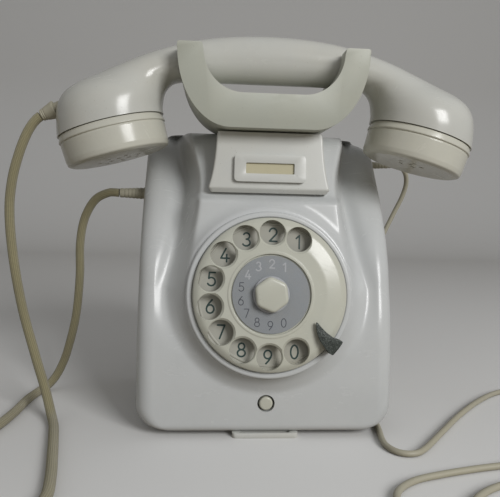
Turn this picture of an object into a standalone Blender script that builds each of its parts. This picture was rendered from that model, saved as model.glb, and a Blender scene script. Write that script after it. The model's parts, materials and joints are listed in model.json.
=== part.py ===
"""Rotary telephone with a fluted housing, a fork cradle and a two-part handset.

Metres, +Z up. The dial faces -Y, +X is to the right of someone who dials, and the
origin is on the surface that the telephone stands on, in the middle of its box.
"""

import math

import bmesh
import bpy
from mathutils import Matrix, Vector

MM = 0.001
GAP = 0.3 * MM              # between pieces that seat on each other

# Housing ---------------------------------------------------------------------
BACK_Y = 57.9 * MM          # plane of the back, against a wall
BODY_BOTTOM = 3.0 * MM      # underside, above the surface it stands on
BODY_TOP = 165.2 * MM
BODY_HALF_BACK = 72.0 * MM  # half width at the back
BODY_HALF_FRONT = 69.3 * MM  # half width at the front, less by the draft
WALL = 2.6 * MM
CORNER = 14.0 * MM          # corners seen from the front
EDGE = 9.0 * MM             # front edge, seen from above
FOOT_EDGE = 6.0 * MM        # front edge at the bottom
DRAFT_FRONT = -48.4 * MM    # where the half width is BODY_HALF_FRONT
FACE_LEAN = math.radians(9.0)
FACE_DEPTH = 37.0 * MM      # face plane's distance from the origin at the dial's height
SHELF_Z = 125.0 * MM        # top of the dial's plinth
NECK_FOOT_Z = 130.0 * MM
NECK_FOOT_Y = -22.0 * MM    # slanted seat of the neck cover
NECK_SLANT = 0.53           # how far the seat goes back for each unit up
BOSS_R = 4.2 * MM
BOSS_X = BODY_HALF_BACK - 14.0 * MM
BOSS_Z = (BODY_BOTTOM + 17.0 * MM, BODY_TOP - 33.2 * MM)

# Back plate ------------------------------------------------------------------
PLATE = 3.0 * MM
KEYHOLE_X = 40.0 * MM
KEYHOLE_Z = BODY_TOP - 25.2 * MM
KEYHOLE_R = 5.0 * MM
KEYHOLE_SLOT_R = 2.6 * MM
KEYHOLE_DROP = 11.0 * MM

# Screws ----------------------------------------------------------------------
SCREW_R = 1.5 * MM
SCREW_HEAD_R = 3.2 * MM
SCREW_HEAD = 2.0 * MM
SCREW_LENGTH = 16.0 * MM

# Dial: heights h run outwards from the wheel's front plane -----------------------
DIAL_Y = -50.0 * MM
DIAL_Z = 79.0 * MM
WHEEL_R = 40.0 * MM
HOLE_R = 0.16125 * WHEEL_R
HOLE_PITCH_R = 0.7975 * WHEEL_R
HOLE_COUNT = 10
FIRST_HOLE = math.radians(63.5)
HOLE_STEP = math.radians(25.7)
HOLE_FLARE = 0.045 * WHEEL_R
CARD_R = 0.515 * WHEEL_R    # recess for the card in the wheel's middle
CARD_FLOOR = -0.8 * MM
CARD_THICK = 0.6 * MM
WINDOW_THICK = 0.8 * MM
WHEEL_UNDER = -2.5 * MM
WHEEL_RIM_LOW = -5.2 * MM
NUT_ACROSS = 16.4 * MM
NUT_HEIGHT = 3.6 * MM
SHAFT_R = 2.5 * MM
RUNNING = 0.3 * MM
NUMBER_PLATE_TOP = -7.5 * MM
NUMBER_PLATE = 1.5 * MM
COLLAR_TOP = -5.6 * MM
COLLAR_LIP_R = WHEEL_R + 2.8 * MM
COLLAR_FOOT_R = COLLAR_LIP_R + 4.0 * MM
COLLAR_FOOT = -20.5 * MM    # under the lowest surface that it runs out on
COLLAR_BORE_R = WHEEL_R - 0.4 * MM
DRUM_R = COLLAR_FOOT_R - 2.1 * MM  # round lower end of the block behind the dial
STOP_LOW = 1.6 * MM         # finger stop above the wheel
STOP_THICK = 1.6 * MM
STOP_FOOT_R = COLLAR_LIP_R + 0.4 * MM
STOP_ANGLE = math.radians(-38.3)

# Gear train ------------------------------------------------------------------
GEAR_MODULE = 0.03 * WHEEL_R
GEAR_TEETH = 32
PINION_TEETH = 8
GEAR_THICK = 2.0 * MM
GEAR_HIGH = -14.0 * MM
BACKLASH = 0.25 * MM
GEAR_WINDOW_R = 3.6 * MM
GEAR_WINDOW_PITCH_R = 11.0 * MM
GOVERNOR_R = 0.2125 * WHEEL_R
GOVERNOR_THICK = 4.0 * MM
SPINDLE_R = 1.2 * MM
GEAR_CENTRES = GEAR_MODULE * (GEAR_TEETH + PINION_TEETH) / 2 + 0.1 * MM
CASE_WALL = 1.6 * MM
CASE_ROOM = 2.4 * MM        # between the governor and the case
CASE_R = GEAR_CENTRES + GOVERNOR_R + CASE_ROOM + CASE_WALL
CASE_DEPTH = 16.7 * MM
DIAL_HOLE_R = CASE_R + 0.4 * MM

# Neck cover and label --------------------------------------------------------
NECK_TOP = 162.8 * MM
NECK_HALF_FOOT = 34.0 * MM
NECK_HALF_TOP = 28.3 * MM
NECK_FRONT_FOOT = -28.0 * MM
NECK_FRONT_TOP = -25.0 * MM
NECK_WALL = 2.2 * MM
LABEL_WIDTH = 38.4 * MM
LABEL_HEIGHT = 14.4 * MM
LABEL_Z = 143.2 * MM
LABEL_THICK = 2.0 * MM
LABEL_WINDOW = (26.0 * MM, 5.7 * MM)
CARD_SLIP = (28.0 * MM, 7.6 * MM, 0.5 * MM)

# Cradle fork -----------------------------------------------------------------
FORK_FRONT = -36.0 * MM
FORK_BACK = 10.0 * MM
FORK_TIP_Z = 206.0 * MM
FORK_FOOT_Z = 163.7 * MM
FORK_HALF = 49.9 * MM
FORK_INNER_HALF = 36.6 * MM
FORK_SPRING_Z = 203.0 * MM  # where the curves of both edges start
FORK_SEAT_Z = 181.5 * MM
CROSSBAR_BACK = -9.0 * MM
ARM_INNER = 33.0 * MM       # behind the crossbar only the arms reach back
TROUGH_CLEAR = 2.3 * MM    # beside the grip, which widens towards its ends
TROUGH_SEAT = 0.6 * MM
TROUGH_BOWL = 8.0 * MM
FORK_TRAVEL = 5.0 * MM
STEM_Y = -13.0 * MM
STEM = (10.0 * MM, 4.0 * MM)
STEM_FOOT_Z = 121.0 * MM
SLIDE_GAP = 0.4 * MM
GUIDE_Z = 129.0 * MM
BRACKET = 2.0 * MM
SPRING_FOOT_Z = 108.0 * MM
SPRING_R = 3.0 * MM
SPRING_WIRE = 0.5 * MM
SPRING_TURNS = 3

# Handset ---------------------------------------------------------------------
HANDSET_Y = -12.0 * MM
GRIP_UNDER_Z = 190.3 * MM
GRIP_TOP_Z = 216.1 * MM
GRIP_HALF_DEPTH = 12.0 * MM
EAR_X = 86.8 * MM           # middle of each cup's seam
EAR_Z = 164.7 * MM
EAR_TILT = math.radians(16.0)
CUP_R = 29.3 * MM
CAP_HEIGHT = 17.6 * MM
CAP_WALL = 2.4 * MM
CAPSULE_R = 23.5 * MM
CAPSULE_THICK = 9.0 * MM
SOUND_HOLE_R = 1.7 * MM
SLEEVE_LENGTH = 9.8 * MM
SLEEVE_Z = 173.4 * MM
SLEEVE_DROP = math.radians(25.0)

# Earth button ----------------------------------------------------------------
BUTTON_Z = 18.8 * MM
BUTTON_R = 3.6 * MM
BUTTON_HOLE_R = 4.6 * MM
BUTTON_FLANGE_R = 5.6 * MM
BUTTON_TRAVEL = 2.5 * MM
BUTTON_PROUD = 0.6 * MM

# Bell ------------------------------------------------------------------------
GONG_R = 25.0 * MM
GONG_X = 31.0 * MM
GONG_Z = 42.0 * MM
GONG_DEPTH = 12.0 * MM
GONG_WALL = 1.2 * MM
GONG_BACK_Y = 44.0 * MM
PIVOT_Z = 72.5 * MM
CLAPPER_Y = 36.0 * MM
CLAPPER_BALL_R = 3.4 * MM
COIL_R = 8.0 * MM
COIL_X = 13.0 * MM
CAPACITOR = (26.0 * MM, 15.0 * MM, 32.0 * MM)        # width, depth and height
INDUCTION_COIL = (22.0 * MM, 19.0 * MM, 36.0 * MM)
TERMINAL_BLOCK = (48.0 * MM, 8.0 * MM, 14.0 * MM)
CIRCUIT_Z = GONG_Z + GONG_R + 15.0 * MM
TERMINAL_Z = BODY_TOP - 21.2 * MM

# Feet and cords --------------------------------------------------------------
FOOT_HALF = 17.7 * MM
FOOT_FRONT = -41.8 * MM
FOOT_SLOT = (26.5 * MM, 3.6 * MM)
REAR_FOOT = (BODY_HALF_BACK - 20.0 * MM, 42.0 * MM)
REAR_FOOT_R = 5.5 * MM
HANDSET_CORD_R = 2.6 * MM
LINE_CORD_R = 1.6 * MM
HANDSET_CORD_STEP = 13.0 * MM
LINE_CORD_STEP = 12.5 * MM
HANDSET_ENTRY = (22.0 * MM, 128.8 * MM)   # depth and height, in the side wall
LINE_ENTRY = (46.0 * MM, 152.0 * MM)
ENTRY_LENGTH = 16.0 * MM
ENTRY_COLLAR = 1.4 * MM     # the sleeve's wall in the housing's hole
HANDSET_COIL = (Vector((-172.0, -100.0, 0.0)) * MM, 22.4 * MM, 33.2 * MM, 11.0 * MM)
LINE_COIL = (Vector((168.0, -96.0, 0.0)) * MM, 12.4 * MM, 22.4 * MM, 10.0 * MM)


# Scene and materials -----------------------------------------------------------

def clear_scene():
    for item in list(bpy.data.objects):
        bpy.data.objects.remove(item, do_unlink=True)


clear_scene()
PARTS = bpy.data.collections.new("rotary_telephone")
CUTTERS = bpy.data.collections.new("cutters")
for group in (PARTS, CUTTERS):
    bpy.context.scene.collection.children.link(group)


def material(name, color, roughness=0.4, metallic=0.0, alpha=1.0):
    made = bpy.data.materials.new(name)
    made.use_nodes = True
    shader = made.node_tree.nodes["Principled BSDF"]
    shader.inputs["Base Color"].default_value = (*color, 1.0)
    shader.inputs["Roughness"].default_value = roughness
    shader.inputs["Metallic"].default_value = metallic
    shader.inputs["Alpha"].default_value = alpha
    return made


WHITE = material("housing_white", (0.80, 0.80, 0.77), 0.25)
CREAM = material("handset_cream", (0.78, 0.77, 0.69), 0.22)
WHEEL_CREAM = material("wheel_cream", (0.80, 0.78, 0.68), 0.25)
FORK_BEIGE = material("fork_beige", (0.66, 0.64, 0.55), 0.5)
CARD_GREY = material("card_grey", (0.55, 0.55, 0.60), 0.5)
CLEAR = material("clear_window", (0.9, 0.9, 0.92), 0.08, alpha=0.35)
PAPER = material("paper", (0.72, 0.68, 0.48), 0.8)
STOP_GREY = material("stop_grey", (0.12, 0.12, 0.13), 0.45, 0.6)
STEEL = material("steel", (0.55, 0.56, 0.57), 0.35, 0.9)
ALUMINIUM = material("capsule_aluminium", (0.62, 0.63, 0.64), 0.4, 0.9)
BRASS = material("brass", (0.72, 0.56, 0.25), 0.35, 0.9)
COPPER = material("coil_winding", (0.50, 0.24, 0.12), 0.5)
DARK = material("moulded_black", (0.04, 0.04, 0.04), 0.5)
RUBBER = material("rubber_grey", (0.30, 0.29, 0.27), 0.8)
TEXTILE = material("cord_textile", (0.62, 0.58, 0.46), 0.85)
VINYL = material("cord_vinyl", (0.70, 0.68, 0.60), 0.5)


# Modelling helpers ---------------------------------------------------------------

def link(name, mesh, finish, parent=None, matrix=None):
    made = bpy.data.objects.new(name, mesh)
    PARTS.objects.link(made)
    if finish is not None:
        mesh.materials.clear()
        mesh.materials.append(finish)
    if parent is not None:
        made.parent = parent
    if matrix is not None:
        made.matrix_basis = matrix
    mesh.shade_smooth()
    mesh.set_sharp_from_angle(angle=math.radians(35))
    return made


def from_bmesh(name, shape, finish, parent=None, matrix=None):
    mesh = bpy.data.meshes.new(name)
    shape.to_mesh(mesh)
    shape.free()
    return link(name, mesh, finish, parent, matrix)


def axis_empty(name, location, rotation=(0.0, 0.0, 0.0), parent=None):
    made = bpy.data.objects.new(name, None)
    PARTS.objects.link(made)
    made.parent = parent
    made.location = location
    made.rotation_euler = rotation
    return made


def box(name, low, high, finish, parent=None, bevel=0.0, segments=2):
    """A block between two corners, with its edges rounded where bevel is given."""
    shape = bmesh.new()
    bmesh.ops.create_cube(shape, size=1.0)
    low, high = Vector(low), Vector(high)
    bmesh.ops.scale(shape, vec=high - low, verts=shape.verts)
    bmesh.ops.translate(shape, vec=(low + high) / 2, verts=shape.verts)
    if bevel:
        bmesh.ops.bevel(shape, geom=shape.edges[:], offset=bevel, affect="EDGES",
                        segments=segments, profile=0.5, clamp_overlap=True)
    return from_bmesh(name, shape, finish, parent)


def rod(name, start, end, radius, finish, sides=24, parent=None, radius_end=None):
    """A cylinder or cone between two points."""
    start, end = Vector(start), Vector(end)
    shape = bmesh.new()
    bmesh.ops.create_cone(shape, cap_ends=True, segments=sides, radius1=radius,
                          radius2=radius if radius_end is None else radius_end,
                          depth=(end - start).length)
    turn = (end - start).to_track_quat("Z", "Y").to_matrix().to_4x4()
    bmesh.ops.transform(shape, matrix=Matrix.Translation((start + end) / 2) @ turn,
                        verts=shape.verts)
    return from_bmesh(name, shape, finish, parent)


def turned(name, profile, finish, steps=32, parent=None, matrix=None, closed=False):
    """A profile of (radius, height) pairs that runs down its outer side, spun about Z."""
    mesh = bpy.data.meshes.new(name)
    points = [(radius, 0.0, height) for radius, height in profile]
    edges = [(i, i + 1) for i in range(len(points) - 1)]
    if closed:
        edges.append((len(points) - 1, 0))
    mesh.from_pydata(points, edges, [])
    made = bpy.data.objects.new(name, mesh)
    PARTS.objects.link(made)
    screw = made.modifiers.new("turn", "SCREW")
    screw.steps = screw.render_steps = steps
    screw.use_merge_vertices = True
    screw.merge_threshold = 0.00002
    return settled(made, finish, parent, matrix)


def settled(made, finish, parent=None, matrix=None):
    """Keeps an object's evaluated shape as a plain mesh and gives it its place."""
    bpy.context.view_layer.update()
    evaluated = made.evaluated_get(bpy.context.evaluated_depsgraph_get())
    mesh = bpy.data.meshes.new_from_object(evaluated)
    name, parent = made.name, parent or made.parent
    matrix = made.matrix_basis.copy() if matrix is None else matrix
    bpy.data.objects.remove(made, do_unlink=True)
    mesh.name = name
    shape = bmesh.new()
    shape.from_mesh(mesh)
    bmesh.ops.remove_doubles(shape, verts=shape.verts, dist=0.00001)
    bmesh.ops.recalc_face_normals(shape, faces=shape.faces)
    shape.to_mesh(mesh)
    shape.free()
    return link(name, mesh, finish, parent, matrix)


FRONT_VIEW = Matrix.Rotation(math.radians(90.0), 4, "X")
SIDE_VIEW = Matrix(((0, 0, 1, 0), (1, 0, 0, 0), (0, 1, 0, 0), (0, 0, 0, 1)))


def flat(name, outlines, low, high, finish, parent=None, view=None):
    """Closed outlines, the first one outside, filled and given a thickness."""
    curve = bpy.data.curves.new(name, "CURVE")
    curve.dimensions = "2D"
    curve.fill_mode = "BOTH"
    curve.extrude = (high - low) / 2
    for outline in outlines:
        spline = curve.splines.new("POLY")
        spline.points.add(len(outline) - 1)
        spline.use_cyclic_u = True
        for point, (x, y) in zip(spline.points, outline):
            point.co = (x, y, 0.0, 1.0)
    made = bpy.data.objects.new(name, curve)
    PARTS.objects.link(made)
    place = Matrix.Translation((0.0, 0.0, (low + high) / 2))
    made.matrix_basis = place if view is None else view @ place
    return settled(made, finish, parent)


def tube(name, points, radius, finish):
    """A round wire through the points, with closed ends."""
    curve = bpy.data.curves.new(name, "CURVE")
    curve.dimensions = "3D"
    curve.bevel_depth = radius
    curve.bevel_resolution = 2
    curve.use_fill_caps = True
    spline = curve.splines.new("POLY")
    spline.points.add(len(points) - 1)
    for point, place in zip(spline.points, points):
        point.co = (*place, 1.0)
    made = bpy.data.objects.new(name, curve)
    PARTS.objects.link(made)
    return settled(made, finish)


def loft(name, loops, finish, parent=None):
    """Joins loops of equally many points and closes both ends."""
    shape = bmesh.new()
    rings = [[shape.verts.new(point) for point in loop] for loop in loops]
    for lower, upper in zip(rings, rings[1:]):
        for i, corner in enumerate(lower):
            after = (i + 1) % len(lower)
            shape.faces.new((corner, lower[after], upper[after], upper[i]))
    shape.faces.new(rings[0][::-1])
    shape.faces.new(rings[-1])
    bmesh.ops.recalc_face_normals(shape, faces=shape.faces)
    return from_bmesh(name, shape, finish, parent)


def boolean(target, tool, operation):
    """Cuts or joins another shape, which then stays as a hidden guide."""
    change = target.modifiers.new(tool.name, "BOOLEAN")
    change.operation = operation
    change.solver = "EXACT"
    change.object = tool
    PARTS.objects.unlink(tool)
    CUTTERS.objects.link(tool)
    tool.hide_render = True
    tool.display_type = "WIRE"


def cut(target, *tools):
    for tool in tools:
        boolean(target, tool, "DIFFERENCE")


def join(target, *tools):
    for tool in tools:
        boolean(target, tool, "UNION")


def circle(x, y, radius, count=24, start=math.pi / 2):
    angles = [start + math.tau * i / count for i in range(count)]
    return [(x + radius * math.cos(a), y + radius * math.sin(a)) for a in angles]


def polar(radius, degrees):
    angle = math.radians(degrees)
    return radius * math.cos(angle), radius * math.sin(angle)


def smooth_step(value):
    value = min(1.0, max(0.0, value))
    return value * value * (3.0 - 2.0 * value)


def through(stations, z):
    """A smooth value at height z through (height, value) stations."""
    if z <= stations[0][0]:
        return stations[0][1]
    if z >= stations[-1][0]:
        return stations[-1][1]
    index = max(i for i, station in enumerate(stations[:-1]) if station[0] <= z)
    (z0, v0), (z1, v1) = stations[index], stations[index + 1]
    before = stations[index - 1] if index else stations[index]
    after = stations[min(index + 2, len(stations) - 1)]
    slope0 = (v1 - before[1]) / (z1 - before[0])
    slope1 = (after[1] - v0) / (after[0] - z0)
    t, span = (z - z0) / (z1 - z0), z1 - z0
    return ((2 * t ** 3 - 3 * t ** 2 + 1) * v0 + (t ** 3 - 2 * t ** 2 + t) * span * slope0
            + (3 * t ** 2 - 2 * t ** 3) * v1 + (t ** 3 - t ** 2) * span * slope1)


def spline_points(route, spacing):
    """Evenly spaced points on a smooth curve through a route's points."""
    route = [Vector(point) for point in route]
    padded = [2 * route[0] - route[1], *route, 2 * route[-1] - route[-2]]
    dense = []
    for p0, p1, p2, p3 in zip(padded, padded[1:], padded[2:], padded[3:]):
        for i in range(24):
            t = i / 24
            dense.append(0.5 * (2 * p1 + (p2 - p0) * t
                                + (2 * p0 - 5 * p1 + 4 * p2 - p3) * t * t
                                + (3 * p1 - p0 - 3 * p2 + p3) * t ** 3))
    dense.append(route[-1])
    lengths = [0.0]
    for a, b in zip(dense, dense[1:]):
        lengths.append(lengths[-1] + (b - a).length)
    count = max(2, round(lengths[-1] / spacing))
    points, at = [], 0
    for i in range(count + 1):
        wanted = lengths[-1] * i / count
        while at < len(lengths) - 2 and lengths[at + 1] < wanted:
            at += 1
        part = (wanted - lengths[at]) / (lengths[at + 1] - lengths[at])
        points.append(dense[at].lerp(dense[at + 1], part))
    return points


# The dial's frame: its Z runs out of the dial, its Y up the face ---------------------

DIAL_TURN = (math.radians(90.0) - FACE_LEAN, 0.0, 0.0)
DIAL_CENTRE = Vector((0.0, DIAL_Y, DIAL_Z))
DIAL_FRAME = axis_empty("dial_axis", DIAL_CENTRE, DIAL_TURN)
bpy.context.view_layer.update()
DIAL_MATRIX = DIAL_FRAME.matrix_world.copy()


# Housing -------------------------------------------------------------------------

BAND = [(3, -41.5), (30, -40.2), (60, -36.8), (85, -30.2), (105, -20.5), (125, -6.5),
        (140, 7.0), (152, 17.5), (166, 28.0)]
PLINTH_EDGE = [(DIAL_Z / MM, DRUM_R / MM), (99, 40.0), (124, 36.5), (139, 36.5),
               (153, 40.0), (166, 44.0)]
FLUTE = [(45, 0.0), (70, 2.0), (90, 4.0), (120, 4.5), (140, 3.0), (155, 1.5), (166, 0.0)]
FLUTE_WIDTH = 5.5 * MM
PLINTH_SIDE = 11.0 * MM


def face_y(z):
    """The plane that the dial lies on."""
    return -FACE_DEPTH + (z - DIAL_Z) * math.tan(FACE_LEAN)


def seat_y(z):
    """The slanted plane that the neck cover seats on."""
    return NECK_FOOT_Y + (z - NECK_FOOT_Z) * NECK_SLANT


def plinth_y(z):
    """Front of the centre block: dial face, shelf, then the neck cover's seat."""
    blend = smooth_step((z - SHELF_Z) / (NECK_FOOT_Z - SHELF_Z))
    return face_y(z) * (1.0 - blend) + seat_y(z) * blend


def rounding(distance, radius):
    """How far a rounded edge of this radius has drawn in at a distance from its end."""
    if distance >= radius:
        return 0.0
    return radius - math.sqrt(max(0.0, radius ** 2 - (radius - distance) ** 2))


def beyond_plinth(x, z):
    """Distance outside the centre block, which is a round drum below the dial's middle."""
    if z < DIAL_Z:
        return math.hypot(x, DIAL_Z - z) - DRUM_R
    return abs(x) - through(PLINTH_EDGE, z / MM) * MM


def front_y(x, z):
    """The housing's front surface, before its outer edges are rounded."""
    level, beyond = z / MM, beyond_plinth(x, z)
    side = smooth_step(beyond / PLINTH_SIDE)
    band = through(BAND, level) * MM
    flute = through(FLUTE, level) * MM
    offset = (beyond - PLINTH_SIDE) / FLUTE_WIDTH
    y = plinth_y(z) * (1.0 - side) + band * side + flute * math.exp(-offset ** 2)
    y += rounding(z - BODY_BOTTOM, FOOT_EDGE)
    y += 1.6 * rounding(BODY_TOP - z, EDGE)
    return y


def half_width(y, z):
    share = (y - DRAFT_FRONT) / (BACK_Y - DRAFT_FRONT)
    width = BODY_HALF_FRONT + (BODY_HALF_BACK - BODY_HALF_FRONT) * share
    width -= rounding(z - BODY_BOTTOM, CORNER) + rounding(BODY_TOP - z, CORNER)
    return width


def entry_spot(side, entry):
    """Where a cord's sleeve crosses the housing's side wall."""
    return Vector((side * half_width(*entry), *entry))


def inner_front_y(x, z):
    """The front wall's inside: everywhere at least a wall's thickness behind it."""
    near = [front_y(x + dx, min(BODY_TOP - 0.1 * MM, max(BODY_BOTTOM + 0.1 * MM, z + dz)))
            for dx in (-WALL, 0.0, WALL) for dz in (-WALL, 0.0, WALL)]
    return max(near) + WALL


def housing_loop(z, inset, back, front, columns):
    """One level section: back edge, sides, rounded front corners and the front."""
    half_front = half_width(front(BODY_HALF_FRONT - EDGE, z), z) - inset
    flat_half = half_front - EDGE
    right = []
    corner_y = front(flat_half, z)
    side_y = corner_y + EDGE
    for share in (0.0, 0.5):
        y = back + (side_y - back) * share
        right.append((half_width(min(y, BACK_Y), z) - inset, y))
    for i in range(4):
        angle = math.radians(90.0) * i / 4
        right.append((flat_half + EDGE * math.cos(angle), side_y - EDGE * math.sin(angle)))
    for i in range(columns):
        x = flat_half * (1.0 - i / columns)
        right.append((x, front(x, z)))
    left = [(-x, y) for x, y in reversed(right)]
    middle = [(0.0, front(0.0, z))]
    return [Vector((x, y, z)) for x, y in right + middle + left]


def levels(low, high, round_low, round_high, middle):
    """Heights that are close together where the ends are rounded."""
    turn = (0.0, 0.1, 0.4, 1.0)
    lower = [low + round_low * share for share in turn]
    upper = [high - round_high * share for share in reversed(turn)]
    return lower + [z for z in middle if lower[-1] + MM < z < upper[0] - MM] + upper


def make_housing():
    middle = [z * MM for z in (22, 30, 38, 46, 54, 64, 78, 94, 108, 119, 125, 127.5, 130, 140)]
    outer = levels(BODY_BOTTOM, BODY_TOP, CORNER, CORNER, middle)
    body = loft("housing", [housing_loop(z, 0.0, BACK_Y, front_y, 9) for z in outer], WHITE)

    hollow = levels(BODY_BOTTOM + WALL, BODY_TOP - WALL, CORNER - WALL, CORNER - WALL,
                    middle[::2])
    beyond = BACK_Y + 5.0 * MM
    cavity = loft("cavity", [housing_loop(z, WALL, beyond, inner_front_y, 5) for z in hollow],
                  None)
    cut(body, cavity)

    collar = turned("collar", [
        (0.0, COLLAR_TOP), (COLLAR_LIP_R - 0.8 * MM, COLLAR_TOP),
        (COLLAR_LIP_R, COLLAR_TOP - 0.5 * MM), (COLLAR_LIP_R + 0.9 * MM, COLLAR_TOP - 3.6 * MM),
        (COLLAR_LIP_R + 2.0 * MM, COLLAR_TOP - 6.2 * MM), (COLLAR_FOOT_R, COLLAR_TOP - 9.0 * MM),
        (COLLAR_FOOT_R + MM, COLLAR_FOOT), (0.0, COLLAR_FOOT)],
        None, 32, matrix=DIAL_MATRIX)
    join(body, collar)
    seat = NUMBER_PLATE_TOP - NUMBER_PLATE - GAP
    dial_hole = turned("dial_hole", [
        (0.0, 8.0 * MM), (COLLAR_BORE_R, 8.0 * MM), (COLLAR_BORE_R, seat),
        (DIAL_HOLE_R, seat), (DIAL_HOLE_R, -30.0 * MM), (0.0, -30.0 * MM)],
        None, 32, matrix=DIAL_MATRIX)
    cut(body, dial_hole)

    for i, (side, z) in enumerate((s, z) for s in (-1, 1) for z in BOSS_Z):
        x = side * BOSS_X
        face = inner_front_y(x, z)
        join(body, rod(f"boss_{i}", (x, face - 1.2 * MM, z), (x, BACK_Y - PLATE - GAP, z),
                       BOSS_R, None, 10))
        hole = rod(f"boss_hole_{i}", (x, BACK_Y - SCREW_LENGTH - MM, z), (x, BACK_Y, z),
                   SCREW_R + GAP, None, 8)
        cut(body, hole)

    face = front_y(0.0, BUTTON_Z)
    guide_back = face + WALL + 8.0 * MM
    join(body, rod("button_boss", (0, face + WALL / 2, BUTTON_Z),
                   (0, guide_back, BUTTON_Z), BUTTON_FLANGE_R + 2.0 * MM, None, 16))
    cut(body,
        rod("button_bore", (0, face - 5 * MM, BUTTON_Z),
            (0, guide_back + 5 * MM, BUTTON_Z), BUTTON_HOLE_R, None, 20),
        rod("flange_bore", (0, face + WALL, BUTTON_Z),
            (0, guide_back + 5 * MM, BUTTON_Z), BUTTON_FLANGE_R + SLIDE_GAP, None, 20))

    stem_slot = STEM[0] / 2 + 4.0 * MM
    left, right = entry_spot(-1, HANDSET_ENTRY), entry_spot(1, LINE_ENTRY)
    reach = Vector((9.0 * MM, 0.0, 0.0))
    cut(body,
        box("stem_slot", (-stem_slot, NECK_FOOT_Y - 12 * MM, NECK_FOOT_Z + 4 * MM),
            (stem_slot, STEM_Y + 9 * MM, BODY_TOP - 6.0 * MM), None),
        rod("handset_entry", left - reach, left + reach, HANDSET_CORD_R + ENTRY_COLLAR, None, 14),
        rod("line_entry", right - reach, right + reach, LINE_CORD_R + ENTRY_COLLAR, None, 12))
    settled(body, WHITE)


# Back plate, feet and case screws ----------------------------------------------------

def rounded_rectangle(low, high, radius, steps):
    points = []
    corners = ((high[0], high[1], 0), (low[0], high[1], 90), (low[0], low[1], 180),
               (high[0], low[1], 270))
    for x, y, start in corners:
        cx = x - math.copysign(radius, x - (low[0] + high[0]) / 2)
        cy = y - math.copysign(radius, y - (low[1] + high[1]) / 2)
        for i in range(steps + 1):
            angle = math.radians(start + 90.0 * i / steps)
            points.append((cx + radius * math.cos(angle), cy + radius * math.sin(angle)))
    return points


def keyhole(x, z):
    """A round hole with a narrower slot above it, for a wall screw."""
    spread = math.asin(KEYHOLE_SLOT_R / KEYHOLE_R)
    round_part = [(x + KEYHOLE_R * math.sin(a), z - KEYHOLE_R * math.cos(a))
                  for a in (math.tau * i / 14 for i in range(14))
                  if abs(a - math.pi) > spread + 0.05]
    first = [point for point in round_part if point[0] >= x]
    second = [point for point in round_part if point[0] < x]
    top = [(x + KEYHOLE_SLOT_R * math.cos(a), z + KEYHOLE_DROP + KEYHOLE_SLOT_R * math.sin(a))
           for a in (math.pi * i / 6 for i in range(7))]
    return first + top + second


def make_back():
    half = BODY_HALF_BACK - WALL - SLIDE_GAP
    low, high = BODY_BOTTOM + WALL + SLIDE_GAP, BODY_TOP - WALL - SLIDE_GAP
    outlines = [rounded_rectangle((-half, low), (half, high), CORNER - WALL, 4)]
    outlines += [keyhole(side * KEYHOLE_X, KEYHOLE_Z) for side in (-1, 1)]
    outlines += [circle(side * BOSS_X, z, SCREW_R + GAP, 8)
                 for side in (-1, 1) for z in BOSS_Z]
    plate = flat("base_plate", outlines, -BACK_Y, -BACK_Y + PLATE, STEEL, view=FRONT_VIEW)
    names = ("case_screw_lower_left", "case_screw_upper_left",
             "case_screw_lower_right", "case_screw_upper_right")
    places = [(side * BOSS_X, z) for side in (-1, 1) for z in BOSS_Z]
    for name, (x, z) in zip(names, places):
        sink = rod(name + "_sink", (x, BACK_Y - SCREW_HEAD, z), (x, BACK_Y + MM, z),
                   SCREW_HEAD_R + GAP, None, 12)
        cut(plate, sink)
        face = BACK_Y - 0.2 * MM
        head_low = face - SCREW_HEAD + 0.5 * MM
        turn = Matrix.Translation((x, 0, z)) @ Matrix.Rotation(math.radians(-90), 4, "X")
        screw = turned(name, [
            (0.0, face), (SCREW_HEAD_R - 0.3 * MM, face), (SCREW_HEAD_R, face - 0.3 * MM),
            (SCREW_HEAD_R, head_low), (SCREW_R, head_low),
            (SCREW_R, BACK_Y - SCREW_LENGTH + MM), (0.0, BACK_Y - SCREW_LENGTH)],
            STEEL, 10, matrix=turn)
        slot = box(name + "_slot", (x - 4 * MM, face - 0.7 * MM, z - 0.4 * MM),
                   (x + 4 * MM, face + MM, z + 0.4 * MM), None)
        cut(screw, slot)
    settled(plate, STEEL)


def make_feet():
    bottom = BODY_BOTTOM - GAP
    outer = rounded_rectangle((-FOOT_HALF, FOOT_FRONT), (FOOT_HALF, REAR_FOOT[1]), 2.5 * MM, 4)
    slot_half = FOOT_SLOT[0] / 2
    slot_low = FOOT_FRONT + 1.8 * MM
    slot = rounded_rectangle((-slot_half, slot_low), (slot_half, slot_low + FOOT_SLOT[1]),
                             1.2 * MM, 3)
    flat("foot_strip", [outer, slot], 0.0, bottom, CREAM)
    for side, name in ((-1, "rear_foot_left"), (1, "rear_foot_right")):
        x = side * REAR_FOOT[0]
        turned(name, [(0.0, bottom), (REAR_FOOT_R - 0.8 * MM, bottom),
                      (REAR_FOOT_R, 0.6 * MM), (REAR_FOOT_R - 0.5 * MM, 0.0), (0.0, 0.0)],
               RUBBER, 14, matrix=Matrix.Translation((x, REAR_FOOT[1] - 4 * MM, 0)))


# Dial ----------------------------------------------------------------------------

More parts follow.
